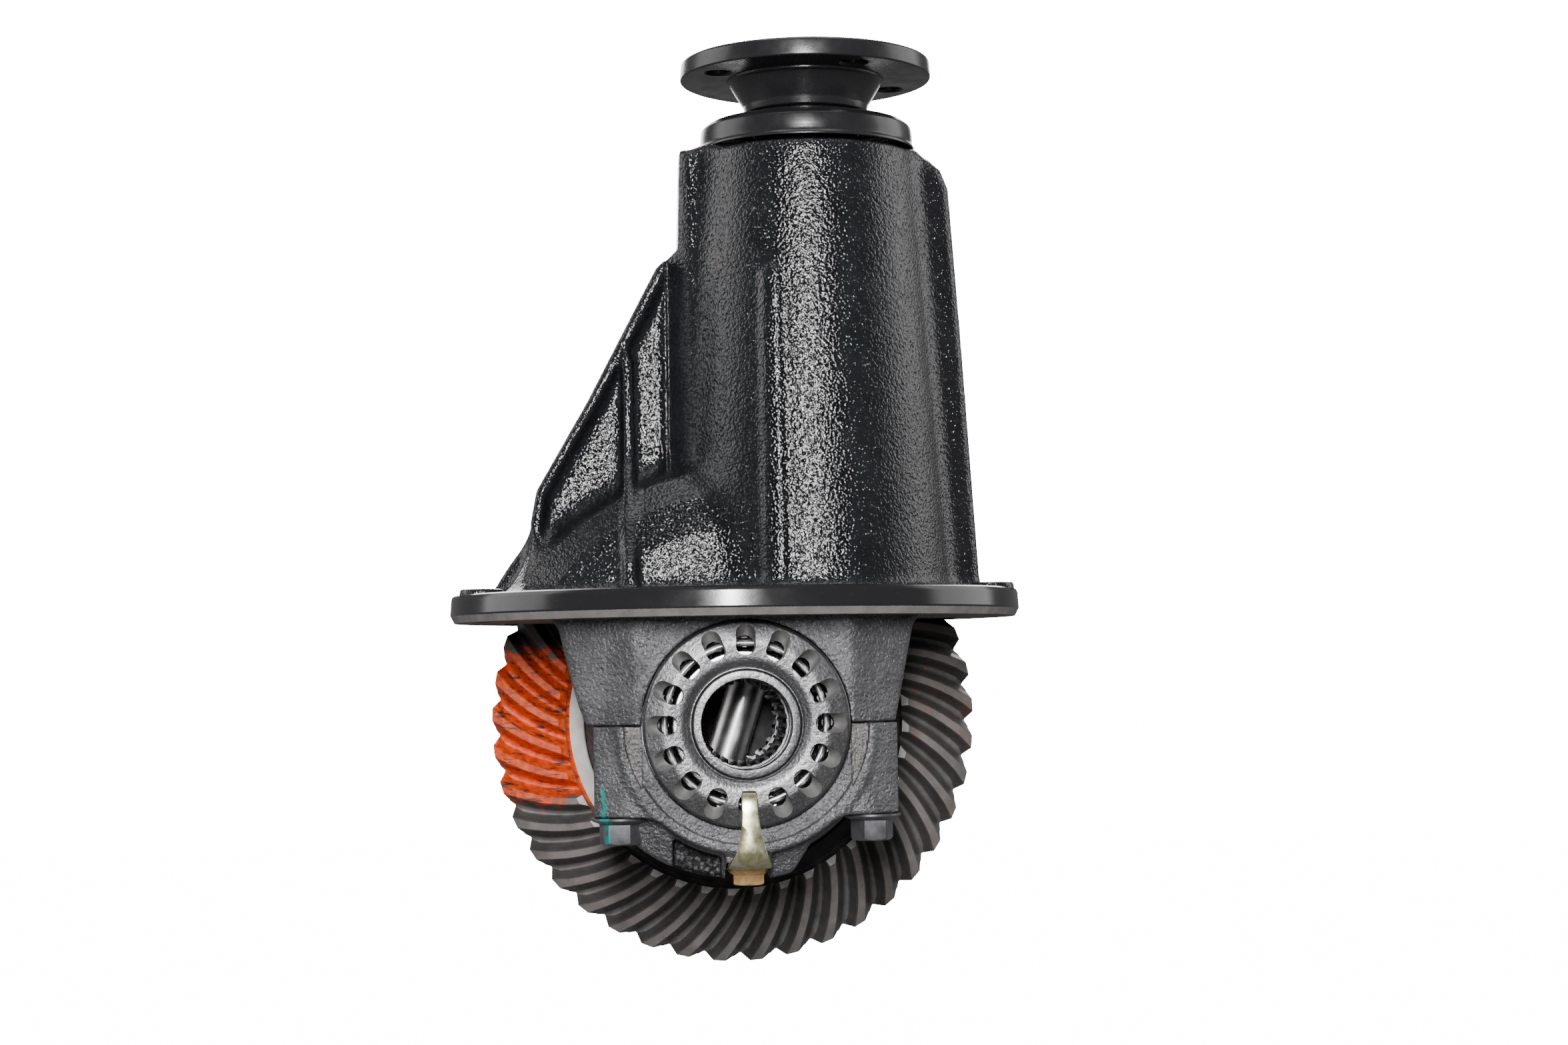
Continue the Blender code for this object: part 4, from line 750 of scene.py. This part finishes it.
def bearing_cap(side, sign):
    """Cap with a stepped ring boss, bolt pads, lower lobes and a lug for the lock."""
    step = 0.9 if (sign > 0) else 0.5
    f = Field((-61, 55 if sign > 0 else -90.5, -110), (60, 90.5 if sign > 0 else -55, AXLE_Z + 0.5), step)
    back = 60.0 if sign < 0 else 65.5
    x, y, z = f.x, -sign * f.y, f.z
    reach = np.sqrt(x ** 2 + (z - AXLE_Z) ** 2)
    wide = np.abs(x)
    pads = np.maximum(wide - 57.4, CAP_PAD_Z - z)
    pads = smax(pads, -y - 87.8, 1.2)
    pads = smax(pads, (-y - 87.8 + 0.60 * (wide - 45.5)) * 0.86, 1.6)
    pads = smax(pads, 34.0 - wide, 2.0)
    boss = smax(reach - 48.8, -y - 88.6, 1.8)
    lobe = smax(reach - 59.0 - 0.08 * np.clip(-x - 8.0, 0.0, 40.0), -y - 76.0 - 0.45 * (59.0 - reach).clip(-9, 9), 1.8)
    lobe = smax(lobe, x - 26.3 - 0.61 * (z + 82.0), 1.5)
    lobe = smax(lobe, -x - 45.0, 1.5)
    pocket = smax(50.6 - reach, np.abs(x + 18.8) - 9.2, 2.0)
    lobe = smax(lobe, -smax(pocket, y + 70.0, 1.0), 1.5)
    shape = smin(boss, lobe, 2.0)
    shape = smin(shape, pads, 3.5)
    lug = smax(np.maximum(wide - 8.6, z - AXLE_Z + 30.0), -y - 86.4, 1.4)
    lug = smax(lug, -z - 95.8, 1.4)
    shape = smin(shape, lug, 2.0)
    dish = smax(reach - 44.8, y + 87.4, 0.6)
    shape = smax(shape, -dish, 0.8)
    milled = np.maximum(np.maximum(reach - 46.0, 39.4 - wide), y + 86.9)
    shape = smax(shape, -milled, 0.3)
    bore = np.where(y < -80.4, BORE_MOUTH, BORE_SIDE + 0.1) - reach
    shape = limited(shape, -z - 92.2 - 60.0 * (wide > 8.0), bore, y + back, z - AXLE_Z + 0.25)
    obj = f.object("cap_" + side, shape)
    relaxed(obj, 1)
    kind = "cap_dab" if sign < 0 else "cap_iron"
    piece("cap_casting_" + side, obj, "carrier", "cast_iron", [kind], "bearing_cap_" + side, smooth=48.0)


upper_casting()
flange_disc()
stud_pads()
for side, sign in SIDES:
    pedestal(side, sign)
    bearing_cap(side, sign)


# --- ring gear
RING_TEETH = 41
RING_OUTER = 100.0
RING_INNER = 70.0
RING_BORE = 62.0
RING_BACK_Y = 49.0
MEAN_RADIUS = 85.0
TOE_CHAMFER = 2.6
RING_BOLTS = 10
RING_BOLT_CIRCLE = 75.0


def spiral_angle(radius):
    ratio = radius / MEAN_RADIUS
    return -((0.601 - 1.02) * log(ratio) + 1.02 * (ratio - 1.0))


def tip_y(radius):
    return 27.5 - 0.17 * (RING_OUTER - radius)


def root_y(radius):
    return 36.5 - 0.24 * (RING_OUTER - radius)


def tooth_half(radius, y):
    return (1.85 * radius / MEAN_RADIUS + 0.425 * (y - tip_y(radius))) / radius


def tooth_stations(radius):
    """(half angle, y) down one flank of a ring gear tooth, tip first, with root fillet and edge break."""
    tip, root = tip_y(radius), root_y(radius)
    floor = tip + max(0.0, (RING_INNER + TOE_CHAMFER - radius)) * 1.1 + max(0.0, radius - RING_OUTER + 1.2) * 0.8
    stations = [
        (tooth_half(radius, floor) - 0.22 / radius, floor),
        (tooth_half(radius, floor + 0.25), floor + 0.25),
    ]
    for share in (0.25, 0.5, 0.75):
        y = floor + share * (root - 1.0 - floor)
        stations.append((tooth_half(radius, y), y))
    stations.append((tooth_half(radius, root - 0.9), root - 0.9))
    stations.append((tooth_half(radius, root - 0.25) + 0.1 / radius, root - 0.25))
    stations.append((tooth_half(radius, root) + 0.5 / radius, root))
    return stations


def ring_point(radius, angle, y):
    return (radius * cos(angle), y, AXLE_Z + radius * sin(angle))


def tooth_loop(radius):
    stations = tooth_stations(radius)
    points = []
    lean = 1.0 if radius >= RING_OUTER else 0.0
    for k in range(RING_TEETH):
        mid = spiral_angle(radius) + k * TAU / RING_TEETH
        both = [(-half, y, 0.34) for half, y in reversed(stations)] + [(half, y, 0.15) for half, y in stations]
        points += [ring_point(radius - lean * pull * (y - stations[0][1]), mid + half, y) for half, y, pull in both]
    return points


def ring_gear():
    """Crown gear with rounded roots, ground top lands and bright toe chamfers of bare cut steel, whose near-white
    colour is partly painted highlight.
    """
    bm = bmesh.new()
    radii = [RING_INNER, RING_INNER + TOE_CHAMFER] + [74.5, 77.5, 80.5, 84.0, 87.5, 91.0, 93.5, 95.2, RING_OUTER]
    loops = [loop_of(bm, tooth_loop(r)) for r in radii]
    per_tooth = len(loops[0]) // RING_TEETH
    tip = per_tooth // 2 - 1
    for k, (a, b) in enumerate(zip(loops, loops[1:])):
        for i, face in enumerate(bridge(bm, a, b)):
            if i % per_tooth == tip:
                face.material_index = 2 if k == 0 else 1

    count = len(loops[0])

    def plain(radius, y, twist):
        return loop_of(bm, [ring_point(radius, twist + (i / count - 0.5 / RING_TEETH) * TAU, y) for i in range(count)])

    inner_twist, outer_twist = spiral_angle(RING_INNER), spiral_angle(RING_OUTER)
    base = root_y(RING_INNER)
    steps = [(RING_INNER - 0.6, base + 0.8), (RING_INNER - 1.3, base + 1.3), (RING_INNER - 1.8, base + 1.0),
             (RING_BORE + 0.5, base + 1.0), (RING_BORE, base + 1.5)]
    chain = [loops[0]] + [plain(r, y, inner_twist) for r, y in steps]
    for k, (a, b) in enumerate(zip(chain, chain[1:])):
        bridge(bm, a, b, 3 if k >= 3 else 0)
    bore = chain[-1]
    steps = [(95.4, 37.6), (95.0, 41.0), (91.6, RING_BACK_Y - 0.4), (91.0, RING_BACK_Y)]
    chain = [loops[-1]] + [plain(r, y, outer_twist) for r, y in steps]
    skin(bm, chain)
    back = plain(RING_BORE + 0.5, RING_BACK_Y, inner_twist)
    lip = plain(RING_BORE, RING_BACK_Y - 0.5, inner_twist)
    skin(bm, [chain[-1], back, lip, bore], mat=3)
    piece("ring_gear_cut", bm, "case_group", "black_oxide", ["flank", "land", "bright", "ring_face"], "ring_gear",
          smooth=38.0)


# --- bolts
def hex_loop(bm, seg, across, height, flat=0.0, chamfer=0.0, scale=1.0):
    """Hexagon whose height changes outside the flat radius."""
    points = []
    for i in range(seg):
        angle = i * TAU / seg
        sector = (angle + pi / 6) % (pi / 3) - pi / 6
        r = across / 2 / cos(sector) * scale
        points.append((r * cos(angle), r * sin(angle), height + max(0.0, r - flat) * chamfer))
    return loop_of(bm, points)


def hex_bolt(across, head, washer, washer_thick, shank, length, seg=72):
    """Flanged hex bolt along +Z with its seat at zero and its head below."""
    bm = bmesh.new()
    inner = across / 2 * 0.93
    top = -head

    def ring(radius, height):
        return loop_of(bm, circle(radius, height, seg))

    loops = [ring(inner * 0.62, top + 0.25), ring(inner * 0.8, top + 0.02), ring(inner, top),
             hex_loop(bm, seg, across, top, inner, 0.58, 0.985), hex_loop(bm, seg, across, top + 0.25, inner, 0.58),
             hex_loop(bm, seg, across, -washer_thick - 0.45), ring(across * 0.6, -washer_thick),
             ring(washer - 0.5, -washer_thick * 0.62), ring(washer, -washer_thick * 0.4), ring(washer, -0.15),
             ring(washer - 0.3, 0.0), ring(shank, 0.0), ring(shank, length)]
    return skin(bm, loops, ends=True)


def seat(bm, axis, centre, turn=0.0):
    """Turn a +Z bolt about itself, then onto an axis through its seat point."""
    matrix = axis_frame(axis, centre) @ Matrix.Rotation(turn, 4, "Z")
    bmesh.ops.transform(bm, matrix=matrix, verts=bm.verts[:])
    return bm


def bolts():
    for side, sign in SIDES:
        for label, x, turn in (("left", -47.5, 0.44), ("right", 47.5, 0.61)):
            bm = seat(hex_bolt(14.0, 10.2, 11.1, 2.1, 5.0, 40.0), (0, 0, 1), (x, sign * 75.0, CAP_PAD_Z - 0.1), turn)
            kind = "bolt_dab" if side == "front" and label == "left" else "bolt"
            piece("cap_bolt_body_%s_%s" % (side, label), bm, "carrier", "bolt_dark", [kind],
                  "cap_bolt_%s_%s" % (side, label), smooth=26.0)
        bm = seat(hex_bolt(11.4, 7.0, 8.2, 2.7, 3.0, 9.0), (0, 0, 1), (0.4, sign * 74.0, CAP_BOTTOM_Z - 2.3), 0.02)
        piece("lock_bolt_body_" + side, bm, "carrier", "copper_zinc", ["copper"],
              "lock_bolt_" + side, smooth=26.0)
    for k in range(RING_BOLTS):
        angle = radians(9 + k * 360 / RING_BOLTS)
        centre = (RING_BOLT_CIRCLE * cos(angle), 57.2, AXLE_Z + RING_BOLT_CIRCLE * sin(angle))
        bm = seat(hex_bolt(14.0, 5.6, 8.4, 1.2, 4.3, 14.0, 48), (0, -1, 0), centre, 0.5 * k)
        piece("ring_bolt_body_%d" % (k + 1), bm, "case_group", "bolt_dark", ["bolt"],
              "ring_gear_bolt_%d" % (k + 1), smooth=26.0)


# --- adjusters and locks
ADJUSTER_SLOTS = 16


def slot_tool(angle, count=28):
    """Radial slot whose outer end slopes inwards with depth."""
    sections = []
    for y, outer, half in ((-96.0, 39.3, 3.75), (-88.6, 37.4, 3.7), (-80.4, 33.4, 3.5), (-70.0, 33.2, 3.5)):
        outline = []
        for i in range(count):
            t = TAU * (i + 0.5) / count
            middle = outer - half if cos(t) > 0 else 25.7 + half
            r, s = middle + half * cos(t), half * sin(t)
            outline.append((r * cos(angle) - s * sin(angle), y,
                            AXLE_Z + r * sin(angle) + s * cos(angle)))
        sections.append(outline)
    bm = lofted(sections)
    for face in bm.faces:
        face.material_index = 1
    return bm


def adjuster(side, sign):
    """Threaded side bearing adjuster: raised bore lip, dished face and sixteen slots."""
    face = [(39.1, 79.2), (39.1, 88.4), (38.3, 89.2), (31.0, 90.9), (24.5, 90.7), (21.8, 89.7)]
    profile = face[:1] + rounded(face, 1.3, 5)[6:-6] + face[-1:]
    profile += rounded([(21.2, 88.6), (20.8, 88.6), (20.2, 90.5), (17.1, 90.7), (17.1, 80.0), (33.0, 79.8),
                        (34.0, 79.2)], 0.35)
    obj = to_object("adjuster", lathe(profile, 224, (0, -1, 0), AXLE))
    cut_away(obj, [slot_tool(-pi / 2 + k * TAU / ADJUSTER_SLOTS) for k in range(ADJUSTER_SLOTS)])
    if sign > 0:
        obj.data.transform(Matrix.Scale(-1.0, 4, (0, 1, 0)))
        obj.data.flip_normals()
    bevelled(obj, 0.28)
    piece("adjuster_ring_" + side, obj, "carrier", "adjuster_steel", ["adjuster", "slot_wall"],
          "bearing_adjuster_" + side, smooth=34.0)


def lock_tab(side, sign):
    """Plated strip: wide foot under the cap, neck rising up the face, rounded tongue in the slot."""
    thick = 1.9
    base = CAP_BOTTOM_Z - 0.3
    line = [(66.5, base - 1.0, 8.0, 0.3), (88.0, base - 1.0, 8.0, 0.3), (90.6, base - 0.7, 8.0, 0.4),
            (92.2, base + 0.4, 7.6, 0.5), (93.2, base + 2.4, 6.5, 0.8), (93.4, -87.6, 5.5, 1.0),
            (93.4, -84.6, 4.6, 1.0), (93.3, -81.6, 3.95, 0.9), (93.2, -78.0, 3.5, 0.7), (93.0, -74.0, 3.2, 0.5),
            (92.8, -71.0, 3.1, 0.4), (92.4, -68.6, 3.0, 0.35), (91.4, -66.9, 2.8, 0.3), (89.6, -66.1, 2.5, 0.3),
            (86.0, -66.0, 2.2, 0.3)]
    bm = bmesh.new()
    loops = []
    for i, (y, z, half, shift) in enumerate(line):
        ya, za = line[max(i - 1, 0)][:2]
        yb, zb = line[min(i + 1, len(line) - 1)][:2]
        length = hypot(yb - ya, zb - za)
        ny, nz = -(zb - za) / length * thick / 2, (yb - ya) / length * thick / 2
        outline = ((-1, 1), (-0.9, 1.25), (0, 1.4), (0.9, 1.25), (1, 1), (1, -1), (0, -1), (-1, -1))
        loops.append(loop_of(bm, [(u * half + shift, sign * (y - ny * v), z - nz * v) for u, v in outline]))
    obj = to_object("tab", skin(bm, loops, ends=True))
    bevelled(obj, 0.35, 3)
    piece("lock_strip_" + side, obj, "carrier", "yellow_zinc", ["zinc"], "adjuster_lock_" + side, smooth=40.0)


# --- side bearings
ROLLERS = 20


def tapered_roller(bm, angle, mid_front, mid_back, front, back, half_front, half_back):
    """One roller between two points of the race gap; heights run along the local axis."""
    start = Vector((mid_front * cos(angle), mid_front * sin(angle), front))
    end = Vector((mid_back * cos(angle), mid_back * sin(angle), back))
    length = (end - start).length
    profile = [(half_front - 0.4, 0.0), (half_front, 0.4), (half_back, length - 0.4), (half_back - 0.4, length)]
    absorb(bm, lathe(profile, 24, end - start, start, closed=False))


def side_bearing(side, sign):
    """Cup, cone and rollers in a pressed cage whose polished lip shows through the slots."""
    axis = (0, sign, 0)
    cup = soft_lathe([(40.3, 62.0), (40.3, 78.9), (37.2, 78.9), (33.8, 62.0)][::-1], 128, axis, AXLE, 0.7)
    piece("bearing_outer_race_" + side, cup, "carrier", "bearing_steel", ["bearing"],
          "side_bearing_cup_" + side)
    cone = soft_lathe([(25.0, 59.3), (33.2, 59.3), (33.2, 61.7), (30.8, 61.7), (27.6, 78.2), (25.0, 78.2)], 128, axis,
                      AXLE, 0.5)
    piece("bearing_inner_race_" + side, cone, "case_group", "bearing_steel", ["bearing"],
          "side_bearing_cone_" + side)
    bm = bmesh.new()
    lip = [(29.2, 77.6), (29.5, 78.7), (30.6, 79.0), (31.9, 78.5), (32.6, 77.2), (33.0, 75.8), (32.3, 75.6),
           (31.6, 76.7), (30.8, 77.5), (30.0, 77.7)]
    absorb(bm, lathe(rounded(lip, 0.3), 128, axis, AXLE))
    absorb(bm, lathe(rounded([(34.4, 62.2), (36.0, 62.2), (36.2, 63.4), (34.8, 63.6)], 0.3), 128, axis, AXLE))
    for face in bm.faces:
        face.material_index = 1
    rollers = bmesh.new()
    for k in range(ROLLERS):
        tapered_roller(rollers, k * TAU / ROLLERS, 31.0, 34.0, -76.8, -63.2, 2.5, 2.9)
    bmesh.ops.transform(rollers, matrix=axis_frame((0, -sign, 0), AXLE), verts=rollers.verts[:])
    absorb(bm, rollers)
    bars = bmesh.new()
    for k in range(ROLLERS):
        a = (k + 0.5) * TAU / ROLLERS
        section = ((32.7, 76.0), (35.6, 63.0), (35.0, 62.8), (32.1, 75.8))
        loops = [loop_of(bars, [
            (r * cos(a) - w * sin(a), sign * y, AXLE_Z + r * sin(a) + w * cos(a))
            for r, y in section]) for w in (-0.55, 0.55)]
        skin(bars, loops, ends=True, mat=1)
    absorb(bm, bars)
    piece("bearing_rollers_and_cage_" + side, bm, side + "_side_rollers", "cage_steel",
          ["bearing", "cage"], "side_bearing_rollers_" + side)


# --- case and bevel gears
CROSS_AXIS = Vector((sin(CROSS_TILT), 0.0, cos(CROSS_TILT)))
APEX = Vector(AXLE)


def differential_case():
    outer = [(24.7, -79.0), (24.7, -59.0), (34.0, -59.0), (50.0, -46.0), (55.0, -38.0), (55.0, 20.0), (61.7, 30.0),
             (61.7, 49.3), (84.0, 49.3), (84.0, 57.0), (64.0, 57.0), (58.0, 58.6), (34.0, 59.0), (24.7, 59.0),
             (24.7, 79.0)]
    inner = [(18.5, 79.0), (18.5, 62.0), (21.5, 62.0), (21.5, 31.0), (35.0, 31.0), (45.5, 18.0), (45.5, -18.0),
             (35.0, -31.0), (21.5, -31.0), (21.5, -62.0), (18.5, -62.0), (18.5, -79.0)]
    obj = to_object("case", lathe(rounded(outer + inner, 1.0), 128, (0, 1, 0), AXLE))
    across = Vector((CROSS_AXIS.z, 0.0, -CROSS_AXIS.x))
    tools = [rod(8.4, -70, 70, 40, CROSS_AXIS, APEX)]
    tools += [rod(24.0, -16.0, 16.0, 56, across, APEX + across * s * 50.0) for s in (-1, 1)]
    tools.append(rod(2.8, -12.5, 70.0, 20, (0, 1, 0), APEX + CROSS_AXIS * 50.0))
    cut_away(obj, tools)
    bevelled(obj, 0.7, 3)
    piece("gear_case", obj, "case_group", "case_iron", ["case"], "differential_case", smooth=36.0)


def cross_shaft():
    bm = soft_lathe([(0.4, -53.0), (8.0, -53.0), (8.0, 53.0), (0.4, 53.0)][::-1], 96, CROSS_AXIS, AXLE, 1.2)
    piece("cross_shaft_ground", bm, "case_group", "shaft_steel", ["shaft"], "cross_shaft")


SIDE_TEETH = 16
SPIDER_TEETH = 10
SPLINES = 28
WALL = 9.0


def side_gear(side, sign):
    """Bevel gear with hub; its bore carries a fine internal spline."""
    axis = Vector((0, sign, 0))
    e1 = CROSS_AXIS
    e2 = axis.cross(e1)
    pitch_polar = atan2(SIDE_TEETH, SPIDER_TEETH)
    root, tip = pitch_polar - radians(5.6), pitch_polar + radians(4.6)

    def half(polar):
        return pi / SIDE_TEETH * 0.47 - 0.42 * (polar - pitch_polar) / sin(polar)

    def spot(length, polar, angle):
        ray = axis * cos(polar) + (e1 * cos(angle) + e2 * sin(angle)) * sin(polar)
        return APEX + ray * length

    bm = bmesh.new()
    shares = (0.0, 0.12, 0.5, 0.9, 1.0)
    loops = []
    for length in (25.0, 31.0, 38.0):
        points = []
        for k in range(SIDE_TEETH):
            mid = k * TAU / SIDE_TEETH
            polars = [root + s * (tip - root) for s in shares]
            points += [spot(length, p, mid - half(p) - (0.010 if p == root else 0.0)) for p in polars]
            points += [spot(length, p, mid + half(p) + (0.010 if p == root else 0.0)) for p in reversed(polars)]
        loops.append(loop_of(bm, points))

    def around(height, radius, angle):
        return APEX + axis * height + (e1 * cos(angle) + e2 * sin(angle)) * radius

    def turned(radius, height):
        count = len(loops[0])
        return loop_of(bm, [around(height, radius, i * TAU / count - half(root)) for i in range(count)])

    hub = ((33.0, 25.4), (33.0, 28.6), (21.5, 28.6), (21.0, 29.2), (21.0, 59.5), (20.5, 60.0), (17.9, 60.0),
           (17.6, 59.6), (17.6, 15.5), (18.4, 14.4))
    skin(bm, loops + [turned(r, h) for r, h in hub] + [loops[0]])
    spline = bmesh.new()
    groove = ((0.0, 16.9), (0.22, 16.9), (0.36, 15.25), (0.64, 15.25), (0.78, 16.9))

    def splined(height, grow):
        points = []
        for k in range(SPLINES):
            for share, r in groove:
                radius = min(r + grow, 17.0) if grow < WALL else 18.0
                points.append(around(height, radius, (k + share) * TAU / SPLINES))
        return loop_of(spline, points)

    rings = [splined(h, grow) for h, grow in ((14.6, 1.4), (16.2, 0.0), (56.6, 0.0), (58.2, 1.5))]
    skin(spline, rings + [splined(58.2, WALL), splined(14.6, WALL), rings[0]])
    bmesh.ops.recalc_face_normals(bm, faces=bm.faces[:])
    bmesh.ops.recalc_face_normals(spline, faces=spline.faces[:])
    absorb(bm, spline)
    obj = to_object("side_gear", bm, recalc=False)
    piece("side_gear_cut_" + side, obj, side + "_output", "gear_steel", ["gear"], "side_gear_" + side, smooth=30.0)


# --- pinion end
YOKE_TOP = 228.4
YOKE_THICK = 7.4
YOKE_HOLES = 4
YOKE_CIRCLE = 40.0
YOKE_PHASE = radians(25.0)


def companion_flange():
    top = YOKE_TOP
    low = top - YOKE_THICK
    profile = [(14.8, 174.6), (21.0, 174.6), (21.0, 206.5), (25.0, 207.2), (25.6, 210.2), (31.3, low - 1.5),
               (32.3, low - 0.9), (32.3, low), (51.0, low), (51.4, low + 0.5), (51.05, top - 0.9), (50.3, top),
               (29.0, top), (29.0, top - 4.0), (20.5, top - 4.0), (20.5, 209.4), (14.8, 209.4)]
    obj = to_object("yoke", lathe(rounded(profile, 0.5), 192, (0, 0, 1), PINION))
    tools = []
    for k in range(YOKE_HOLES):
        a = YOKE_PHASE + k * TAU / YOKE_HOLES
        spot = (PINION_X + YOKE_CIRCLE * cos(a), YOKE_CIRCLE * sin(a), 0)
        bore = [(6.1, low - 3.0), (6.1, low), (5.25, low + 0.9), (5.25, top - 0.9), (6.1, top), (6.1, top + 3.0)]
        tools.append(lathe(bore, 40, (0, 0, 1), spot, closed=False))
    cut_away(obj, tools)
    bevelled(obj, 0.2)
    piece("companion_flange_turned", obj, "pinion_group", "satin_black", ["satin"], "companion_flange")


def dust_deflector():
    profile = [(21.3, 199.0), (21.3, 206.2), (27.0, 205.8), (29.5, 204.4), (35.0, 203.6), (40.2, 202.4), (43.0, 200.2),
               (43.4, 196.5), (43.5, 193.2), (44.2, 192.0), (44.2, 191.2), (42.6, 191.2), (41.8, 199.6), (38.6, 202.2),
               (28.5, 203.0), (22.8, 204.0), (22.8, 199.0)]
    piece("dust_shield_pressed", lathe(rounded(profile, 0.9), 192, (0, 0, 1), PINION), "pinion_group",
          "satin_black", ["satin"], "dust_deflector")


def pinion_end():
    nut = bmesh.new()
    seg, across, low, top = 72, 30.0, 211.6, 224.5
    rounds = ((across * 0.47, top), (13.0, top), (12.0, top - 1.0), (12.0, low))
    loops = [hex_loop(nut, seg, across, low), hex_loop(nut, seg, across, top, across * 0.485, -0.55)]
    loops += [loop_of(nut, circle(r, z, seg)) for r, z in rounds]
    skin(nut, loops + loops[:1])
    bmesh.ops.transform(nut, matrix=Matrix.Translation(PINION), verts=nut.verts[:])
    piece("pinion_nut_body", nut, "pinion_group", "bolt_dark", ["bolt"], "pinion_nut", smooth=26.0)
    washer = soft_lathe([(12.0, 209.7), (19.5, 209.7), (19.5, 211.3), (12.0, 211.3)], 96, (0, 0, 1), PINION, 0.3)
    piece("pinion_washer_disc", washer, "pinion_group", "bolt_dark", ["bolt"], "pinion_washer")


ring_gear()
bolts()
for side, sign in SIDES:
    adjuster(side, sign)
    lock_tab(side, sign)
    side_bearing(side, sign)
    side_gear(side, sign)
differential_case()
cross_shaft()
companion_flange()
dust_deflector()
pinion_end()


# --- carried-over nodes
KEPT = {
    "gear": ("drive_pinion", "spider_gear_upper", "spider_gear_lower"),
    "rubber": ("pinion_oil_seal",),
    # the rear bore plug carries the near-black painted shade
    "bore_plug_painted_shade": ("bore_plug_rear",),
    "cage": ("oil_slinger", "crush_sleeve", "head_bearing_rollers", "tail_bearing_rollers"),
    "bearing": ("pinion_shim", "head_bearing_cup", "head_bearing_cone", "tail_bearing_cup", "tail_bearing_cone"),
    "shaft": ("cross_shaft_pin",),
    "bronze": ("side_gear_washer_front", "side_gear_washer_rear", "spider_washer_upper", "spider_washer_lower"),
}
for kind, names in KEPT.items():
    for name in names:
        NODES[name].data.materials.clear()
        NODES[name].data.materials.append(MATS[kind])
        bevelled(NODES[name], 0.15, 1)


# --- studio
FLOOR_Z = -0.1412


def studio():
    """Pale floor that turns up into a round backdrop on every side, and a plain pale sky."""
    curve = [(3.5 + 2.0 * sin(a), 2.0 - 2.0 * cos(a)) for a in np.linspace(0, pi / 2, 16)[1:]]
    bm = bmesh.new()
    rows = [loop_of(bm, circle(r, z + FLOOR_Z, 96)) for r, z in [(1.0, 0.0), (3.5, 0.0)] + curve + [(5.5, 8.0)]]
    skin(bm, rows)
    cap(bm, rows[0])
    mesh = bpy.data.meshes.new("floor")
    bm.to_mesh(mesh)
    bm.free()
    mesh.polygons.foreach_set("use_smooth", [True] * len(mesh.polygons))
    floor = linked("floor", mesh)
    pale = Nodes("pale_floor")
    floor.data.materials.append(pale.finish((0.93, 0.93, 0.93), 0.9, 0.0))
    pale.feed(pale.shader.inputs["Emission Color"], (1, 1, 1, 1))
    pale.feed(pale.shader.inputs["Emission Strength"], 16.0)
    floor.visible_diffuse = False
    floor.visible_glossy = False
    world = bpy.data.worlds.new("studio")
    bpy.context.scene.world = world
    world.use_nodes = True
    sky = world.node_tree.nodes["Background"]
    sky.inputs["Color"].default_value = (1, 1, 1, 1)
    sky.inputs["Strength"].default_value = 0.2


def softbox(name, azimuth, elevation, distance, size, power):
    """Area light aimed at the object; azimuth 0 is in front, positive to the right."""
    data = bpy.data.lights.new(name, "AREA")
    data.shape = "RECTANGLE"
    data.size, data.size_y = size
    data.energy = power
    lamp = linked(name, data)
    a, e = radians(azimuth), radians(elevation)
    back = Vector((sin(a) * cos(e), -cos(a) * cos(e), sin(e)))
    lamp.location = Vector((0, 0, 0.05)) + back * distance
    lamp.rotation_mode = "QUATERNION"
    lamp.rotation_quaternion = back.to_track_quat("Z", "Y")


def camera():
    place = Vector((-48.80, -1140.06, -19.69)) * MM
    yaw, pitch, roll = 0.0607, 0.0518, -0.0156
    ahead = Vector((sin(yaw) * cos(pitch), cos(yaw) * cos(pitch), sin(pitch)))
    right = Vector((cos(yaw), -sin(yaw), 0.0))
    up = right.cross(ahead)
    side = right * cos(roll) + up * sin(roll)
    top = up * cos(roll) - right * sin(roll)
    data = bpy.data.cameras.new("camera")
    data.lens = 64.44
    data.sensor_width = 36.0
    data.clip_start, data.clip_end = 0.02, 60.0
    cam = linked("camera", data)
    matrix = Matrix((side, top, -ahead)).transposed().to_4x4()
    matrix.translation = place
    cam.matrix_world = matrix
    bpy.context.scene.camera = cam


studio()
softbox("front_key", -4, 10.5, 1.5, (0.14, 0.46), 39)
for name, azimuth in (("left_fill", -100), ("right_fill", 100)):
    softbox(name, azimuth, 20, 1.7, (1.2, 1.2), 11)
softbox("back_fill", 180, 25, 1.7, (1.4, 1.0), 26)
softbox("back_key", 176, 27, 1.5, (0.2, 0.4), 30)
softbox("top", 0, 80, 1.5, (1.2, 1.0), 10)
camera()
